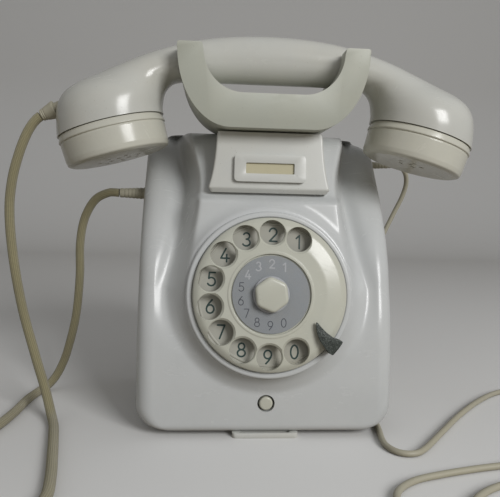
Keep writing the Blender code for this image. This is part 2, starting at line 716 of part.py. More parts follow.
def make_wheel():
    bore = SHAFT_R + RUNNING
    wheel = turned("finger_wheel", [
        (bore, CARD_FLOOR), (CARD_R, CARD_FLOOR), (CARD_R, 0.3 * MM),
        (WHEEL_R - 10.0 * MM, 0.3 * MM), (WHEEL_R - 3.4 * MM, -1.0 * MM),
        (WHEEL_R - 0.4 * MM, -2.8 * MM), (WHEEL_R, WHEEL_RIM_LOW),
        (WHEEL_R - 1.5 * MM, WHEEL_RIM_LOW), (WHEEL_R - 3.0 * MM, WHEEL_UNDER - 1.2 * MM),
        (WHEEL_R - 6.0 * MM, WHEEL_UNDER), (bore, WHEEL_UNDER)],
        WHEEL_CREAM, 32, parent=DIAL_FRAME, matrix=Matrix.Identity(4), closed=True)
    for i in range(HOLE_COUNT):
        angle = FIRST_HOLE + i * HOLE_STEP
        spot = Vector((math.cos(angle), math.sin(angle), 0.0)) * HOLE_PITCH_R
        hole = turned(f"finger_hole_{i}", [
            (0.0, 2 * MM), (HOLE_R + HOLE_FLARE, 2 * MM), (HOLE_R, -0.7 * MM),
            (HOLE_R, -8 * MM), (0.0, -8 * MM)],
            None, 12, parent=DIAL_FRAME, matrix=Matrix.Translation(spot))
        cut(wheel, hole)

    inner = SHAFT_R + RUNNING
    card_low = CARD_FLOOR + GAP
    turned("card_disc", [
        (inner, card_low + CARD_THICK), (CARD_R - 0.8 * MM, card_low + CARD_THICK),
        (CARD_R - 0.8 * MM, card_low), (inner, card_low)],
        CARD_GREY, 24, parent=DIAL_FRAME, matrix=Matrix.Identity(4), closed=True)
    window_low = card_low + CARD_THICK + GAP
    window_high = window_low + WINDOW_THICK
    turned("card_window", [
        (inner, window_high), (CARD_R - 0.9 * MM, window_high),
        (CARD_R - 0.3 * MM, window_high - 0.4 * MM), (CARD_R - 0.3 * MM, window_low),
        (inner, window_low)],
        CLEAR, 24, parent=DIAL_FRAME, matrix=Matrix.Identity(4), closed=True)
    nut_low = window_high + GAP
    nut_outline = circle(0.0, 0.0, NUT_ACROSS / 2 / math.cos(math.radians(30)), 6)
    nut = flat("centre_nut", [nut_outline], nut_low, nut_low + NUT_HEIGHT, WHEEL_CREAM,
               parent=DIAL_FRAME)
    soften(nut, 1.6 * MM, 2)
    rod("dial_shaft", (0, 0, nut_low - GAP), (0, 0, -CASE_DEPTH - 12.5 * MM), SHAFT_R, STEEL,
        16, DIAL_FRAME)


def soften(made, width, segments=2, angle=30.0):
    bevel = made.modifiers.new("rounded_edges", "BEVEL")
    bevel.width = width
    bevel.segments = segments
    bevel.limit_method = "ANGLE"
    bevel.angle_limit = math.radians(angle)
    return made


def gear_outline(teeth, backlash):
    """Teeth with straight flanks, thinned by the backlash at the pitch circle."""
    pitch_r = GEAR_MODULE * teeth / 2
    tip_r, root_r = pitch_r + 0.8 * GEAR_MODULE, pitch_r - 1.1 * GEAR_MODULE
    half_pitch = math.pi / teeth / 2
    thin = backlash / pitch_r
    wide, narrow = half_pitch * 1.55 - thin, half_pitch * 0.45 - thin / 2
    points = []
    for i in range(teeth):
        middle = math.tau * i / teeth
        for radius, angle in ((root_r, -wide), (tip_r, -narrow), (tip_r, narrow),
                              (root_r, wide)):
            points.append((radius * math.cos(middle + angle), radius * math.sin(middle + angle)))
    return points


def make_gears():
    low = GEAR_HIGH - GEAR_THICK
    windows = [circle(*polar(GEAR_WINDOW_PITCH_R, 90 + 72 * i), GEAR_WINDOW_R, 8)
               for i in range(5)]
    flat("main_gear", [gear_outline(GEAR_TEETH, BACKLASH),
                       circle(0.0, 0.0, SHAFT_R + RUNNING, 16), *windows],
         low, GEAR_HIGH, BRASS, parent=DIAL_FRAME)
    # The pinion's tooth gap faces the gear's tooth on the line between the centres.
    spindle = axis_empty("governor_axis", (GEAR_CENTRES, 0.0, 0.0), parent=DIAL_FRAME)
    outline = gear_outline(PINION_TEETH, BACKLASH)
    turn = Matrix.Rotation(math.pi / PINION_TEETH, 2)
    outline = [tuple(turn @ Vector(point)) for point in outline]
    flat("governor_pinion", [outline, circle(0.0, 0.0, SPINDLE_R + 0.2 * MM, 14)],
         low + 0.1 * MM, GEAR_HIGH + 0.1 * MM, BRASS, parent=spindle)
    rotor_high = low - 2.0 * MM
    rotor_low = rotor_high - GOVERNOR_THICK
    rotor = turned("governor_rotor", [
        (SPINDLE_R + 0.2 * MM, rotor_high), (3.0 * MM, rotor_high),
        (3.0 * MM, rotor_high - 1.0 * MM), (GOVERNOR_R - 1.6 * MM, rotor_high - 1.0 * MM),
        (GOVERNOR_R - 1.6 * MM, rotor_high), (GOVERNOR_R, rotor_high),
        (GOVERNOR_R, rotor_low), (GOVERNOR_R - 1.6 * MM, rotor_low),
        (GOVERNOR_R - 1.6 * MM, rotor_low + 1.2 * MM), (SPINDLE_R + 0.2 * MM, rotor_low + 1.2 * MM)],
        BRASS, 16, parent=spindle, matrix=Matrix.Identity(4), closed=True)
    for i in range(3):
        angle = math.tau * (i + 0.13) / 3
        spot = Vector((math.cos(angle), math.sin(angle), 0)) * 4.9 * MM
        cut(rotor, rod(f"rotor_hole_{i}", spot + Vector((0, 0, rotor_low - MM)),
                       spot + Vector((0, 0, rotor_high + MM)), 1.3 * MM, None, 6, spindle))
    settled(rotor, BRASS)
    case_floor = NUMBER_PLATE_TOP - NUMBER_PLATE - 2 * GAP - CASE_WALL
    rod("governor_spindle", (0, 0, case_floor - GAP), (0, 0, -CASE_DEPTH - 10.8 * MM),
        SPINDLE_R, STEEL, 14, spindle)


def make_dial_case():
    top = NUMBER_PLATE_TOP - NUMBER_PLATE - GAP
    turned("number_plate", [
        (8.0 * MM, NUMBER_PLATE_TOP), (COLLAR_BORE_R - 1.4 * MM, NUMBER_PLATE_TOP),
        (COLLAR_BORE_R - 0.4 * MM, NUMBER_PLATE_TOP - 0.4 * MM),
        (COLLAR_BORE_R - 0.4 * MM, NUMBER_PLATE_TOP - NUMBER_PLATE),
        (8.0 * MM, NUMBER_PLATE_TOP - NUMBER_PLATE)],
        CREAM, 28, matrix=DIAL_MATRIX, closed=True)
    rim = top - CASE_DEPTH
    turned("dial_case", [
        (SHAFT_R + RUNNING, top), (CASE_R, top), (CASE_R, rim), (CASE_R - CASE_WALL, rim),
        (CASE_R - CASE_WALL, top - CASE_WALL), (SHAFT_R + RUNNING, top - CASE_WALL)],
        STEEL, 24, matrix=DIAL_MATRIX, closed=True)
    half, arm = CASE_R - 0.4 * MM, 7.0 * MM
    outline = rounded_rectangle((-half, -arm), (half, arm), 4.0 * MM, 4)
    flat("dial_bridge", [outline, circle(0, 0, SHAFT_R + RUNNING, 20),
                         circle(GEAR_CENTRES, 0, SPINDLE_R + RUNNING, 14)],
         rim - GAP - 1.6 * MM, rim - GAP, STEEL, parent=DIAL_FRAME)
    outer = CASE_R - CASE_WALL - 4.0 * MM
    springs = box("pulse_contacts", (-9 * MM, -outer, rim + 2.0 * MM),
                  (9 * MM, -outer + 7.0 * MM, top - CASE_WALL - GAP), DARK, DIAL_FRAME)
    for i in range(3):
        z = top - CASE_WALL - 8.5 * MM - i * 2.0 * MM
        join(springs, box(f"pulse_leaf_{i}", (-8 * MM + i * MM, -outer + 6 * MM, z - 0.25 * MM),
                          (-3 * MM + i * MM, -outer + 23 * MM, z + 0.25 * MM), None,
                          DIAL_FRAME))


def make_finger_stop():
    centre = math.degrees(STOP_ANGLE)
    outline = [polar(STOP_FOOT_R, centre + a) for a in (-5.8, -3.0, 0.0, 3.0, 5.8)]
    inner = ((0.95, 4.4), (0.835, 4.6), (0.7375, 6.2), (0.66, 8.4), (0.69, 3.6), (0.7625, -1.6),
             (0.85, -4.6), (0.9625, -5.9))
    outline += [polar(share * WHEEL_R, centre + angle) for share, angle in inner]
    stop = flat("finger_stop", [outline], STOP_LOW, STOP_LOW + STOP_THICK, STOP_GREY,
                parent=DIAL_FRAME)
    leg_in, leg_out = WHEEL_R + 0.9 * MM, STOP_FOOT_R
    sweep = (-5.8, -2.0, 2.0, 5.8)
    leg_outline = [polar(leg_out, centre + a) for a in sweep]
    leg_outline += [polar(leg_in, centre + a) for a in reversed(sweep)]
    join(stop, flat("stop_leg", [leg_outline], COLLAR_TOP + GAP, STOP_LOW + STOP_THICK, None,
                    parent=DIAL_FRAME))


# Neck cover and label ------------------------------------------------------------------

NECK_LEAN = math.atan2(NECK_FRONT_TOP - NECK_FRONT_FOOT, NECK_TOP - NECK_FOOT_Z)


def neck_front(z):
    return NECK_FRONT_FOOT + (z - NECK_FOOT_Z) * math.tan(NECK_LEAN)


def neck_half(z):
    """Sides that flare outwards towards the foot."""
    rise = (z - NECK_FOOT_Z) / (NECK_TOP - NECK_FOOT_Z)
    straight = NECK_HALF_FOOT + (NECK_HALF_TOP - NECK_HALF_FOOT) * rise
    return straight - 1.2 * MM * math.sin(math.pi * min(1.0, rise * 1.1) ** 0.8)


def neck_loop(z, inset, behind):
    half, front, back = neck_half(z) - inset, neck_front(z) + inset, seat_y(z) - GAP + behind
    return [Vector(p) for p in ((half, back, z), (-half, back, z), (-half, front, z),
                                (half, front, z))]


def make_neck():
    low, high = NECK_FOOT_Z + GAP, NECK_TOP
    steps = 6
    outer = [neck_loop(low + (high - low) * i / steps, 0.0, 0.0) for i in range(steps + 1)]
    cover = loft("neck_cover", outer, CREAM)
    soften(cover, 1.8 * MM, 2, 50.0)
    inner_low, inner_high = low + NECK_WALL, high - NECK_WALL
    inner = [neck_loop(inner_low + (inner_high - inner_low) * i / steps, NECK_WALL, 6 * MM)
             for i in range(steps + 1)]
    cut(cover, loft("neck_hollow", inner, None))
    half_x, half_y = STEM[0] / 2 + SLIDE_GAP, STEM[1] / 2 + SLIDE_GAP
    cut(cover, box("neck_slot", (-half_x, STEM_Y - half_y, high - 5 * MM),
                   (half_x, STEM_Y + half_y, high + 5 * MM), None))

    lean = Matrix.Translation((0, neck_front(LABEL_Z), LABEL_Z)) \
        @ Matrix.Rotation(-NECK_LEAN, 4, "X") @ FRONT_VIEW
    half, rise = LABEL_WIDTH / 2, LABEL_HEIGHT / 2
    frame = flat("label_frame", [
        rounded_rectangle((-half, -rise), (half, rise), 2.2 * MM, 4),
        rounded_rectangle((-LABEL_WINDOW[0] / 2, -LABEL_WINDOW[1] / 2),
                          (LABEL_WINDOW[0] / 2, LABEL_WINDOW[1] / 2), 0.6 * MM, 2)],
        GAP, GAP + LABEL_THICK, CREAM, view=lean)
    pocket = (CARD_SLIP[0] / 2 + GAP, CARD_SLIP[1] / 2 + GAP, CARD_SLIP[2] + 2 * GAP)
    hollow = box("label_pocket", (-pocket[0], -pocket[1], -MM),
                 (pocket[0], pocket[1], GAP + pocket[2]), None)
    hollow.matrix_basis = lean
    cut(frame, hollow)
    card = box("label_card", (-CARD_SLIP[0] / 2, -CARD_SLIP[1] / 2, 2 * GAP),
               (CARD_SLIP[0] / 2, CARD_SLIP[1] / 2, 2 * GAP + CARD_SLIP[2]), PAPER)
    card.matrix_basis = lean


# Cradle fork -----------------------------------------------------------------------------

def quarter(centre_x, half, depth, count, outwards):
    """A quarter ellipse between the crossbar's level and an arm's side."""
    points = []
    for i in range(count + 1):
        angle = math.radians(90.0) * i / count
        points.append((centre_x + half * math.sin(angle),
                       FORK_SPRING_Z - depth * math.cos(angle)))
    return points if outwards else points[::-1]


def make_fork():
    outer_x, inner_x = 22.0 * MM, 16.0 * MM
    outer = quarter(outer_x, FORK_HALF - outer_x, FORK_SPRING_Z - FORK_FOOT_Z, 7, True)
    inner = quarter(inner_x, FORK_INNER_HALF - inner_x, FORK_SPRING_Z - FORK_SEAT_Z, 6, False)
    tip = [(FORK_HALF + 0.2 * MM, FORK_TIP_Z - 0.8 * MM), (FORK_HALF - 0.8 * MM, FORK_TIP_Z),
           (FORK_INNER_HALF + 1.6 * MM, FORK_TIP_Z),
           (FORK_INNER_HALF + 0.6 * MM, FORK_TIP_Z - 0.8 * MM)]
    right = outer + tip + inner
    left = [(-x, z) for x, z in reversed(right)]
    fork = flat("cradle_fork", [right + left], -FORK_BACK, -FORK_FRONT, FORK_BEIGE,
                view=FRONT_VIEW)
    wide = FORK_HALF + 10 * MM
    trough = GRIP_HALF_DEPTH + TROUGH_CLEAR
    bottom = GRIP_UNDER_Z - TROUGH_SEAT
    mouth = FORK_TIP_Z + 9 * MM
    bowl = [(HANDSET_Y - trough * math.cos(a), bottom + TROUGH_BOWL * (1.0 - math.sin(a)))
            for a in (math.pi * i / 8 for i in range(9))]
    bowl += [(HANDSET_Y + trough, mouth), (HANDSET_Y - trough, mouth)]
    cut(fork,
        flat("trough", [bowl], -wide, wide, None, view=SIDE_VIEW),
        box("behind_crossbar", (-ARM_INNER, CROSSBAR_BACK, FORK_FOOT_Z - 5 * MM),
            (ARM_INNER, FORK_BACK + 5 * MM, FORK_TIP_Z + 5 * MM), None),
        box("rear_prong_trim", (-wide, HANDSET_Y + trough - MM, FORK_TIP_Z - 10 * MM),
            (wide, FORK_BACK + 5 * MM, FORK_TIP_Z + 9 * MM), None))
    fork = settled(fork, FORK_BEIGE)
    soften(fork, 1.5 * MM, 1, 40.0)
    box("fork_stem", (-STEM[0] / 2, STEM_Y - STEM[1] / 2, STEM_FOOT_Z),
        (STEM[0] / 2, STEM_Y + STEM[1] / 2, FORK_FOOT_Z - GAP), STEEL, bevel=0.4 * MM,
        segments=1)


def make_hook_switch():
    front, web = STEM_Y - 4.5 * MM, STEM_Y + 7.0 * MM
    back = BACK_Y - PLATE - GAP
    half = STEM[0] / 2 + 3.0 * MM
    flange = half + 6.0 * MM
    bracket = box("hook_bracket", (-half, front, GUIDE_Z), (half, back, GUIDE_Z + BRACKET),
                  STEEL)
    join(bracket,
         box("bracket_web", (-half, web, SPRING_FOOT_Z), (half, web + BRACKET, GUIDE_Z + MM),
             None),
         box("bracket_shelf", (-half, front, SPRING_FOOT_Z),
             (half, web + MM, SPRING_FOOT_Z + BRACKET), None),
         box("bracket_flange", (-flange, back - BRACKET, GUIDE_Z - 7 * MM),
             (flange, back, GUIDE_Z + 9 * MM), None))
    half_x, half_y = STEM[0] / 2 + SLIDE_GAP, STEM[1] / 2 + SLIDE_GAP
    cut(bracket, box("bracket_slot", (-half_x, STEM_Y - half_y, GUIDE_Z - 5 * MM),
                     (half_x, STEM_Y + half_y, GUIDE_Z + 6 * MM), None))
    low = SPRING_FOOT_Z + BRACKET + GAP + SPRING_WIRE
    high = STEM_FOOT_Z - GAP - SPRING_WIRE
    turns = []
    for i in range(SPRING_TURNS * 7 + 1):
        angle = math.tau * i / 7
        turns.append((SPRING_R * math.cos(angle), STEM_Y + SPRING_R * math.sin(angle),
                      low + (high - low) * i / (SPRING_TURNS * 7)))
    tube("hook_spring", turns, SPRING_WIRE, STEEL)
    base = GUIDE_Z + BRACKET + GAP
    contacts = box("hook_contacts", (-6 * MM, 6 * MM, base), (6 * MM, 20 * MM, base + 11 * MM),
                   DARK)
    for i in range(3):
        z = base + 2.5 * MM + i * 3.0 * MM
        join(contacts, box(f"hook_leaf_{i}", (-4 * MM, STEM_Y + 4.5 * MM + i * MM, z),
                           (4 * MM, 8 * MM, z + 0.5 * MM), None))


# Handset ---------------------------------------------------------------------------------

GRIP_STATIONS = [   # inner edge, outer edge, half depth, in millimetres
    ((58.5, 172.8), (115.0, 156.6), 29.3), ((58.9, 176.2), (115.4, 165.6), 29.2),
    ((58.6, 179.6), (114.9, 173.6), 28.2), ((58.0, 182.8), (111.6, 180.6), 26.0),
    ((56.7, 185.6), (105.0, 186.0), 22.6), ((54.6, 188.0), (95.4, 191.0), 19.0),
    ((51.6, 189.7), (82.4, 197.4), 16.0), ((46.4, 190.3), (66.4, 204.6), 13.8),
    ((36.0, 190.3), (47.4, 210.7), 12.6), ((23.0, 190.3), (27.6, 214.5), 12.1)]


def grip_section(inner, outer, half_depth, side, count=18):
    """An oval ring whose long way runs from the inner to the outer edge."""
    inner = Vector((side * inner[0], 0.0, inner[1])) * MM
    outer = Vector((side * outer[0], 0.0, outer[1])) * MM
    middle, reach = (inner + outer) / 2, (outer - inner) / 2
    points = []
    for i in range(count):
        angle = math.tau * i / count
        along, across = math.cos(angle), side * math.sin(angle)
        points.append(middle + reach * along
                      + Vector((0.0, HANDSET_Y + half_depth * MM * across, 0.0)))
    return points


def ear_matrix(side):
    """The cup's frame: its Z points out of the cap, away from the grip."""
    down = Vector((-side * math.sin(EAR_TILT), 0.0, -math.cos(EAR_TILT)))
    turn = down.to_track_quat("Z", "Y").to_matrix().to_4x4()
    return Matrix.Translation((side * EAR_X, HANDSET_Y, EAR_Z)) @ turn


def make_handset():
    middle = ((0.0, GRIP_UNDER_Z / MM), (0.0, GRIP_TOP_Z / MM), GRIP_HALF_DEPTH / MM)
    loops = [grip_section(*station, -1) for station in GRIP_STATIONS]
    loops.append(grip_section(*middle, -1))
    for station in reversed(GRIP_STATIONS):
        loop = grip_section(*station, -1)
        loops.append([Vector((-p.x, p.y, p.z)) for p in loop])
    grip = loft("handset_grip", loops, CREAM)
    for side, cap_name, capsule_name in ((-1, "mouth_cap", "microphone_capsule"),
                                         (1, "ear_cap", "receiver_capsule")):
        place = ear_matrix(side)
        seat = 6.0 * MM
        cut(grip, turned(f"{capsule_name}_seat", [
            (0.0, 5 * MM), (CAPSULE_R + SLIDE_GAP, 5 * MM), (CAPSULE_R + SLIDE_GAP, -seat),
            (0.0, -seat)], None, 28, matrix=place))
        low = GAP - seat
        turned(capsule_name, [
            (0.0, low + CAPSULE_THICK), (CAPSULE_R - 2.5 * MM, low + CAPSULE_THICK),
            (CAPSULE_R - 1.5 * MM, low + CAPSULE_THICK - MM),
            (CAPSULE_R - 1.5 * MM, low + 3 * MM),
            (CAPSULE_R, low + 3 * MM), (CAPSULE_R, low), (0.0, low)],
            ALUMINIUM, 20, matrix=place)
        make_cap(cap_name, place, side)
    entry = Vector((-115.2 * MM, HANDSET_Y, SLEEVE_Z))
    away = Vector((-math.cos(SLEEVE_DROP), 0.0, -math.sin(SLEEVE_DROP)))
    cut(grip,
        rod("sleeve_bore", entry - away * 6 * MM, entry + away * 9 * MM, 3.9 * MM, None, 14),
        rod("sleeve_seat", entry + away * 1.1 * MM, entry + away * 9 * MM, 5.2 * MM, None, 16))
    turn = Matrix.Translation(entry) @ away.to_track_quat("Z", "Y").to_matrix().to_4x4()
    tip = SLEEVE_LENGTH
    turned("handset_sleeve", [
        (0.0, tip), (HANDSET_CORD_R + 0.2 * MM, tip), (HANDSET_CORD_R + 0.6 * MM, tip - 0.6 * MM),
        (4.2 * MM, 4.0 * MM), (4.9 * MM, 2.2 * MM), (4.9 * MM, 1.4 * MM), (3.6 * MM, 1.4 * MM),
        (3.6 * MM, -5.4 * MM), (0.0, -5.4 * MM)], VINYL, 12, matrix=turn)
    return entry + away * (tip + 2 * GAP), away


def make_cap(name, place, side):
    """A screwed cap: bead, groove, tapered wall, and a dished or domed face with holes."""
    top = CAP_HEIGHT
    dish = 1.6 * MM if side > 0 else -0.8 * MM
    cap = turned(name, [
        (0.0, top - dish), (15.0 * MM, top - 0.7 * dish), (CUP_R - 4.0 * MM, top),
        (CUP_R - 1.6 * MM, top - 1.4 * MM), (CUP_R - 0.9 * MM, top - 3.6 * MM),
        (CUP_R - 0.2 * MM, 4.4 * MM), (CUP_R, 3.6 * MM), (CUP_R, GAP),
        (CUP_R - CAP_WALL, GAP), (CUP_R - CAP_WALL, 9.0 * MM), (CUP_R - 5.0 * MM, 13.6 * MM),
        (15.0 * MM, top - 0.7 * dish - CAP_WALL), (0.0, top - dish - CAP_WALL)],
        CREAM, 20, matrix=place)
    rings = ((0.0, 1), (6.5 * MM, 5)) if side > 0 else ((5.0 * MM, 4), (11.0 * MM, 7))
    for radius, count in rings:
        for i in range(count):
            angle = math.tau * i / count
            x, y = radius * math.cos(angle), radius * math.sin(angle)
            hole = rod(f"{name}_hole_{radius / MM:.0f}_{i}", (x, y, top - 8 * MM),
                       (x, y, top + 4 * MM), SOUND_HOLE_R, None, 6)
            hole.matrix_basis = place
            cut(cap, hole)


# Earth button ------------------------------------------------------------------------------

def make_button():
    face = front_y(0.0, BUTTON_Z)
    front = face - BUTTON_PROUD
    flange = face + WALL + GAP
    guide = axis_empty("button_axis", (0.0, face, BUTTON_Z))
    turn = Matrix.Rotation(math.radians(90.0), 4, "X")
    outer = face - front
    turned("earth_button", [
        (0.0, outer), (BUTTON_R - 1.0 * MM, outer), (BUTTON_R - 0.2 * MM, outer - 0.4 * MM),
        (BUTTON_R, outer - 1.2 * MM), (BUTTON_R, face - flange), (BUTTON_FLANGE_R, face - flange),
        (BUTTON_FLANGE_R, face - flange - 1.4 * MM), (1.6 * MM, face - flange - 1.4 * MM),
        (1.6 * MM, face - flange - 8.0 * MM), (0.0, face - flange - 8.0 * MM)],
        WHEEL_CREAM, 16, parent=guide, matrix=turn)
    tail = flange + 8.0 * MM
    leaf = tail + BUTTON_TRAVEL + GAP
    half = 5.0 * MM
    low = BODY_BOTTOM + WALL + GAP
    contact = box("earth_contact", (-half, leaf, low), (half, leaf + 0.8 * MM, BUTTON_Z + 4 * MM),
                  STEEL)
    join(contact, box("contact_foot", (-half, leaf, low), (half, leaf + 14 * MM, low + 2 * MM),
                      None),
         box("contact_block", (-half, leaf + 5 * MM, low), (half, leaf + 12 * MM, low + 9 * MM),
             None))


# Bell and the other inner pieces ----------------------------------------------------------------

def make_bell():
    back = BACK_Y - PLATE - GAP
    turn = Matrix.Rotation(math.radians(90.0), 4, "X")
    for side, name in ((-1, "gong_left"), (1, "gong_right")):
        high = GONG_DEPTH
        x = side * GONG_X
        place = Matrix.Translation((x, GONG_BACK_Y, GONG_Z)) @ turn
        turned(name, [
            (2.4 * MM, high), (17.0 * MM, high - 1.0 * MM),
            (GONG_R - 2.0 * MM, high - 5.0 * MM), (GONG_R, 0.0), (GONG_R - GONG_WALL, 0.0),
            (GONG_R - 2.0 * MM - GONG_WALL, high - 5.4 * MM),
            (16.6 * MM, high - 1.0 * MM - GONG_WALL),
            (2.4 * MM, high - GONG_WALL)], BRASS, 16, matrix=place, closed=True)
        reach = GONG_BACK_Y - back
        turned(name.replace("gong", "gong_post"), [
            (0.0, high + 2.4 * MM), (4.0 * MM, high + 2.4 * MM), (4.0 * MM, high + GAP),
            (2.1 * MM, high + GAP), (2.1 * MM, high - GONG_WALL - GAP),
            (4.0 * MM, high - GONG_WALL - GAP), (4.0 * MM, reach), (0.0, reach)],
            STEEL, 12, matrix=place)
    coil_top = PIVOT_Z + 25.0 * MM
    half = COIL_X + 9.0 * MM
    frame = box("bell_frame", (-half, back - 2 * MM, PIVOT_Z - 8 * MM),
                (half, back, coil_top + 2.3 * MM), STEEL)
    boss_front = CLAPPER_Y + 5.0 * MM
    join(frame,
         box("bell_shelf", (-half, CLAPPER_Y - 5 * MM, coil_top + GAP),
             (half, back - MM, coil_top + 2.3 * MM), None),
         box("bell_boss", (-4 * MM, boss_front, PIVOT_Z - 4 * MM),
             (4 * MM, back - MM, PIVOT_Z + 4 * MM), None))
    cut(frame, rod("pin_seat", (0, boss_front - MM, PIVOT_Z), (0, boss_front + 4 * MM, PIVOT_Z),
                   1.5 * MM + GAP, None, 14))
    rod("clapper_pin", (0, CLAPPER_Y - 4.6 * MM, PIVOT_Z), (0, boss_front + 3.7 * MM, PIVOT_Z),
        1.5 * MM, STEEL, 16)
    pole_z = PIVOT_Z + 3.8 * MM
    for side, name in ((-1, "bell_coil_left"), (1, "bell_coil_right")):
        place = Matrix.Translation((side * COIL_X, CLAPPER_Y, 0.0))
        turned(name, [
            (0.0, coil_top), (COIL_R, coil_top), (COIL_R, coil_top - 1.5 * MM),
            (COIL_R - MM, coil_top - 1.5 * MM), (COIL_R - MM, pole_z + 2.5 * MM),
            (COIL_R, pole_z + 2.5 * MM), (COIL_R, pole_z + MM), (3.0 * MM, pole_z + MM),
            (3.0 * MM, pole_z), (0.0, pole_z)], COPPER, 14, matrix=place)
    pivot = axis_empty("clapper_axis", (0.0, CLAPPER_Y, PIVOT_Z))
    arm = box("clapper", (-18 * MM, -4 * MM, -2.2 * MM), (18 * MM, 4 * MM, 2.2 * MM), STEEL,
              pivot, 0.6 * MM, 1)
    ball_z = GONG_Z - PIVOT_Z
    join(arm, rod("clapper_rod", (0, 0, ball_z), (0, 0, 0), 1.0 * MM, None, 10, pivot),
         turned("clapper_ball", [(CLAPPER_BALL_R * math.sin(a), CLAPPER_BALL_R * math.cos(a))
                                 for a in (math.pi * i / 6 for i in range(7))],
                None, 10, parent=pivot, matrix=Matrix.Translation((0, 0, ball_z))))
    cut(arm, rod("clapper_bore", (0, -6 * MM, 0), (0, 6 * MM, 0), 1.5 * MM + GAP, None, 16,
                 pivot))


def make_circuit():
    back = BACK_Y - PLATE - GAP
    width, depth, height = CAPACITOR
    outer = BODY_HALF_BACK - 10.0 * MM
    low = CIRCUIT_Z + 2.0 * MM
    box("capacitor", (-outer, back - depth, low), (width - outer, back, low + height), STEEL,
        bevel=1.5 * MM)
    width, depth, height = INDUCTION_COIL
    coil_x, coil_y = BODY_HALF_BACK - 25.0 * MM, back - depth / 2
    coil = rod("induction_coil", (coil_x, coil_y, CIRCUIT_Z + MM),
               (coil_x, coil_y, CIRCUIT_Z + height - MM), depth / 2 - 1.1 * MM, COPPER, 16)
    for i, z in enumerate((CIRCUIT_Z, CIRCUIT_Z + height - 2 * MM)):
        join(coil, box(f"coil_cheek_{i}", (coil_x - width / 2, coil_y - depth / 2, z),
                       (coil_x + width / 2, back, z + 2 * MM), None))
    width, depth, height = TERMINAL_BLOCK
    block = box("terminal_block", (-width / 2, back - depth, TERMINAL_Z),
                (width / 2, back, TERMINAL_Z + height), DARK, bevel=0.8 * MM, segments=1)
    z = TERMINAL_Z + height / 2
    for i in range(5):
        x = (i - 2) * 9.0 * MM
        join(block, rod(f"terminal_{i}", (x, back - depth - 3 * MM, z),
                        (x, back - depth + MM, z), 2.8 * MM, None, 6))


# Cords -------------------------------------------------------------------------------------

def entry_sleeve(name, spot, side, radius):
    """A tapered sleeve in the housing's side wall, with a flange inside it."""
    away = Vector((side, 0.0, 0.0))
    turn = Matrix.Translation(spot) @ away.to_track_quat("Z", "Y").to_matrix().to_4x4()
    bore = radius + ENTRY_COLLAR - GAP
    turned(name, [
        (0.0, ENTRY_LENGTH), (radius + 0.2 * MM, ENTRY_LENGTH),
        (radius + 0.6 * MM, ENTRY_LENGTH - 0.6 * MM), (bore, 2.0 * MM), (bore, -4.0 * MM),
        (bore + 1.6 * MM, -4.0 * MM), (bore + 1.6 * MM, -5.6 * MM), (0.0, -5.6 * MM)],
        VINYL, 12, matrix=turn)
    return spot + away * (ENTRY_LENGTH + 2 * GAP)


def coil_ring(name, coil, finish):
    centre, inner, outer, height = coil
    turned(name, [(inner, height), (outer, height), (outer, 0.0), (inner, 0.0)], finish, 24,
           matrix=Matrix.Translation(centre), closed=True)


def at(x, y, z):
    return Vector((x, y, z)) * MM


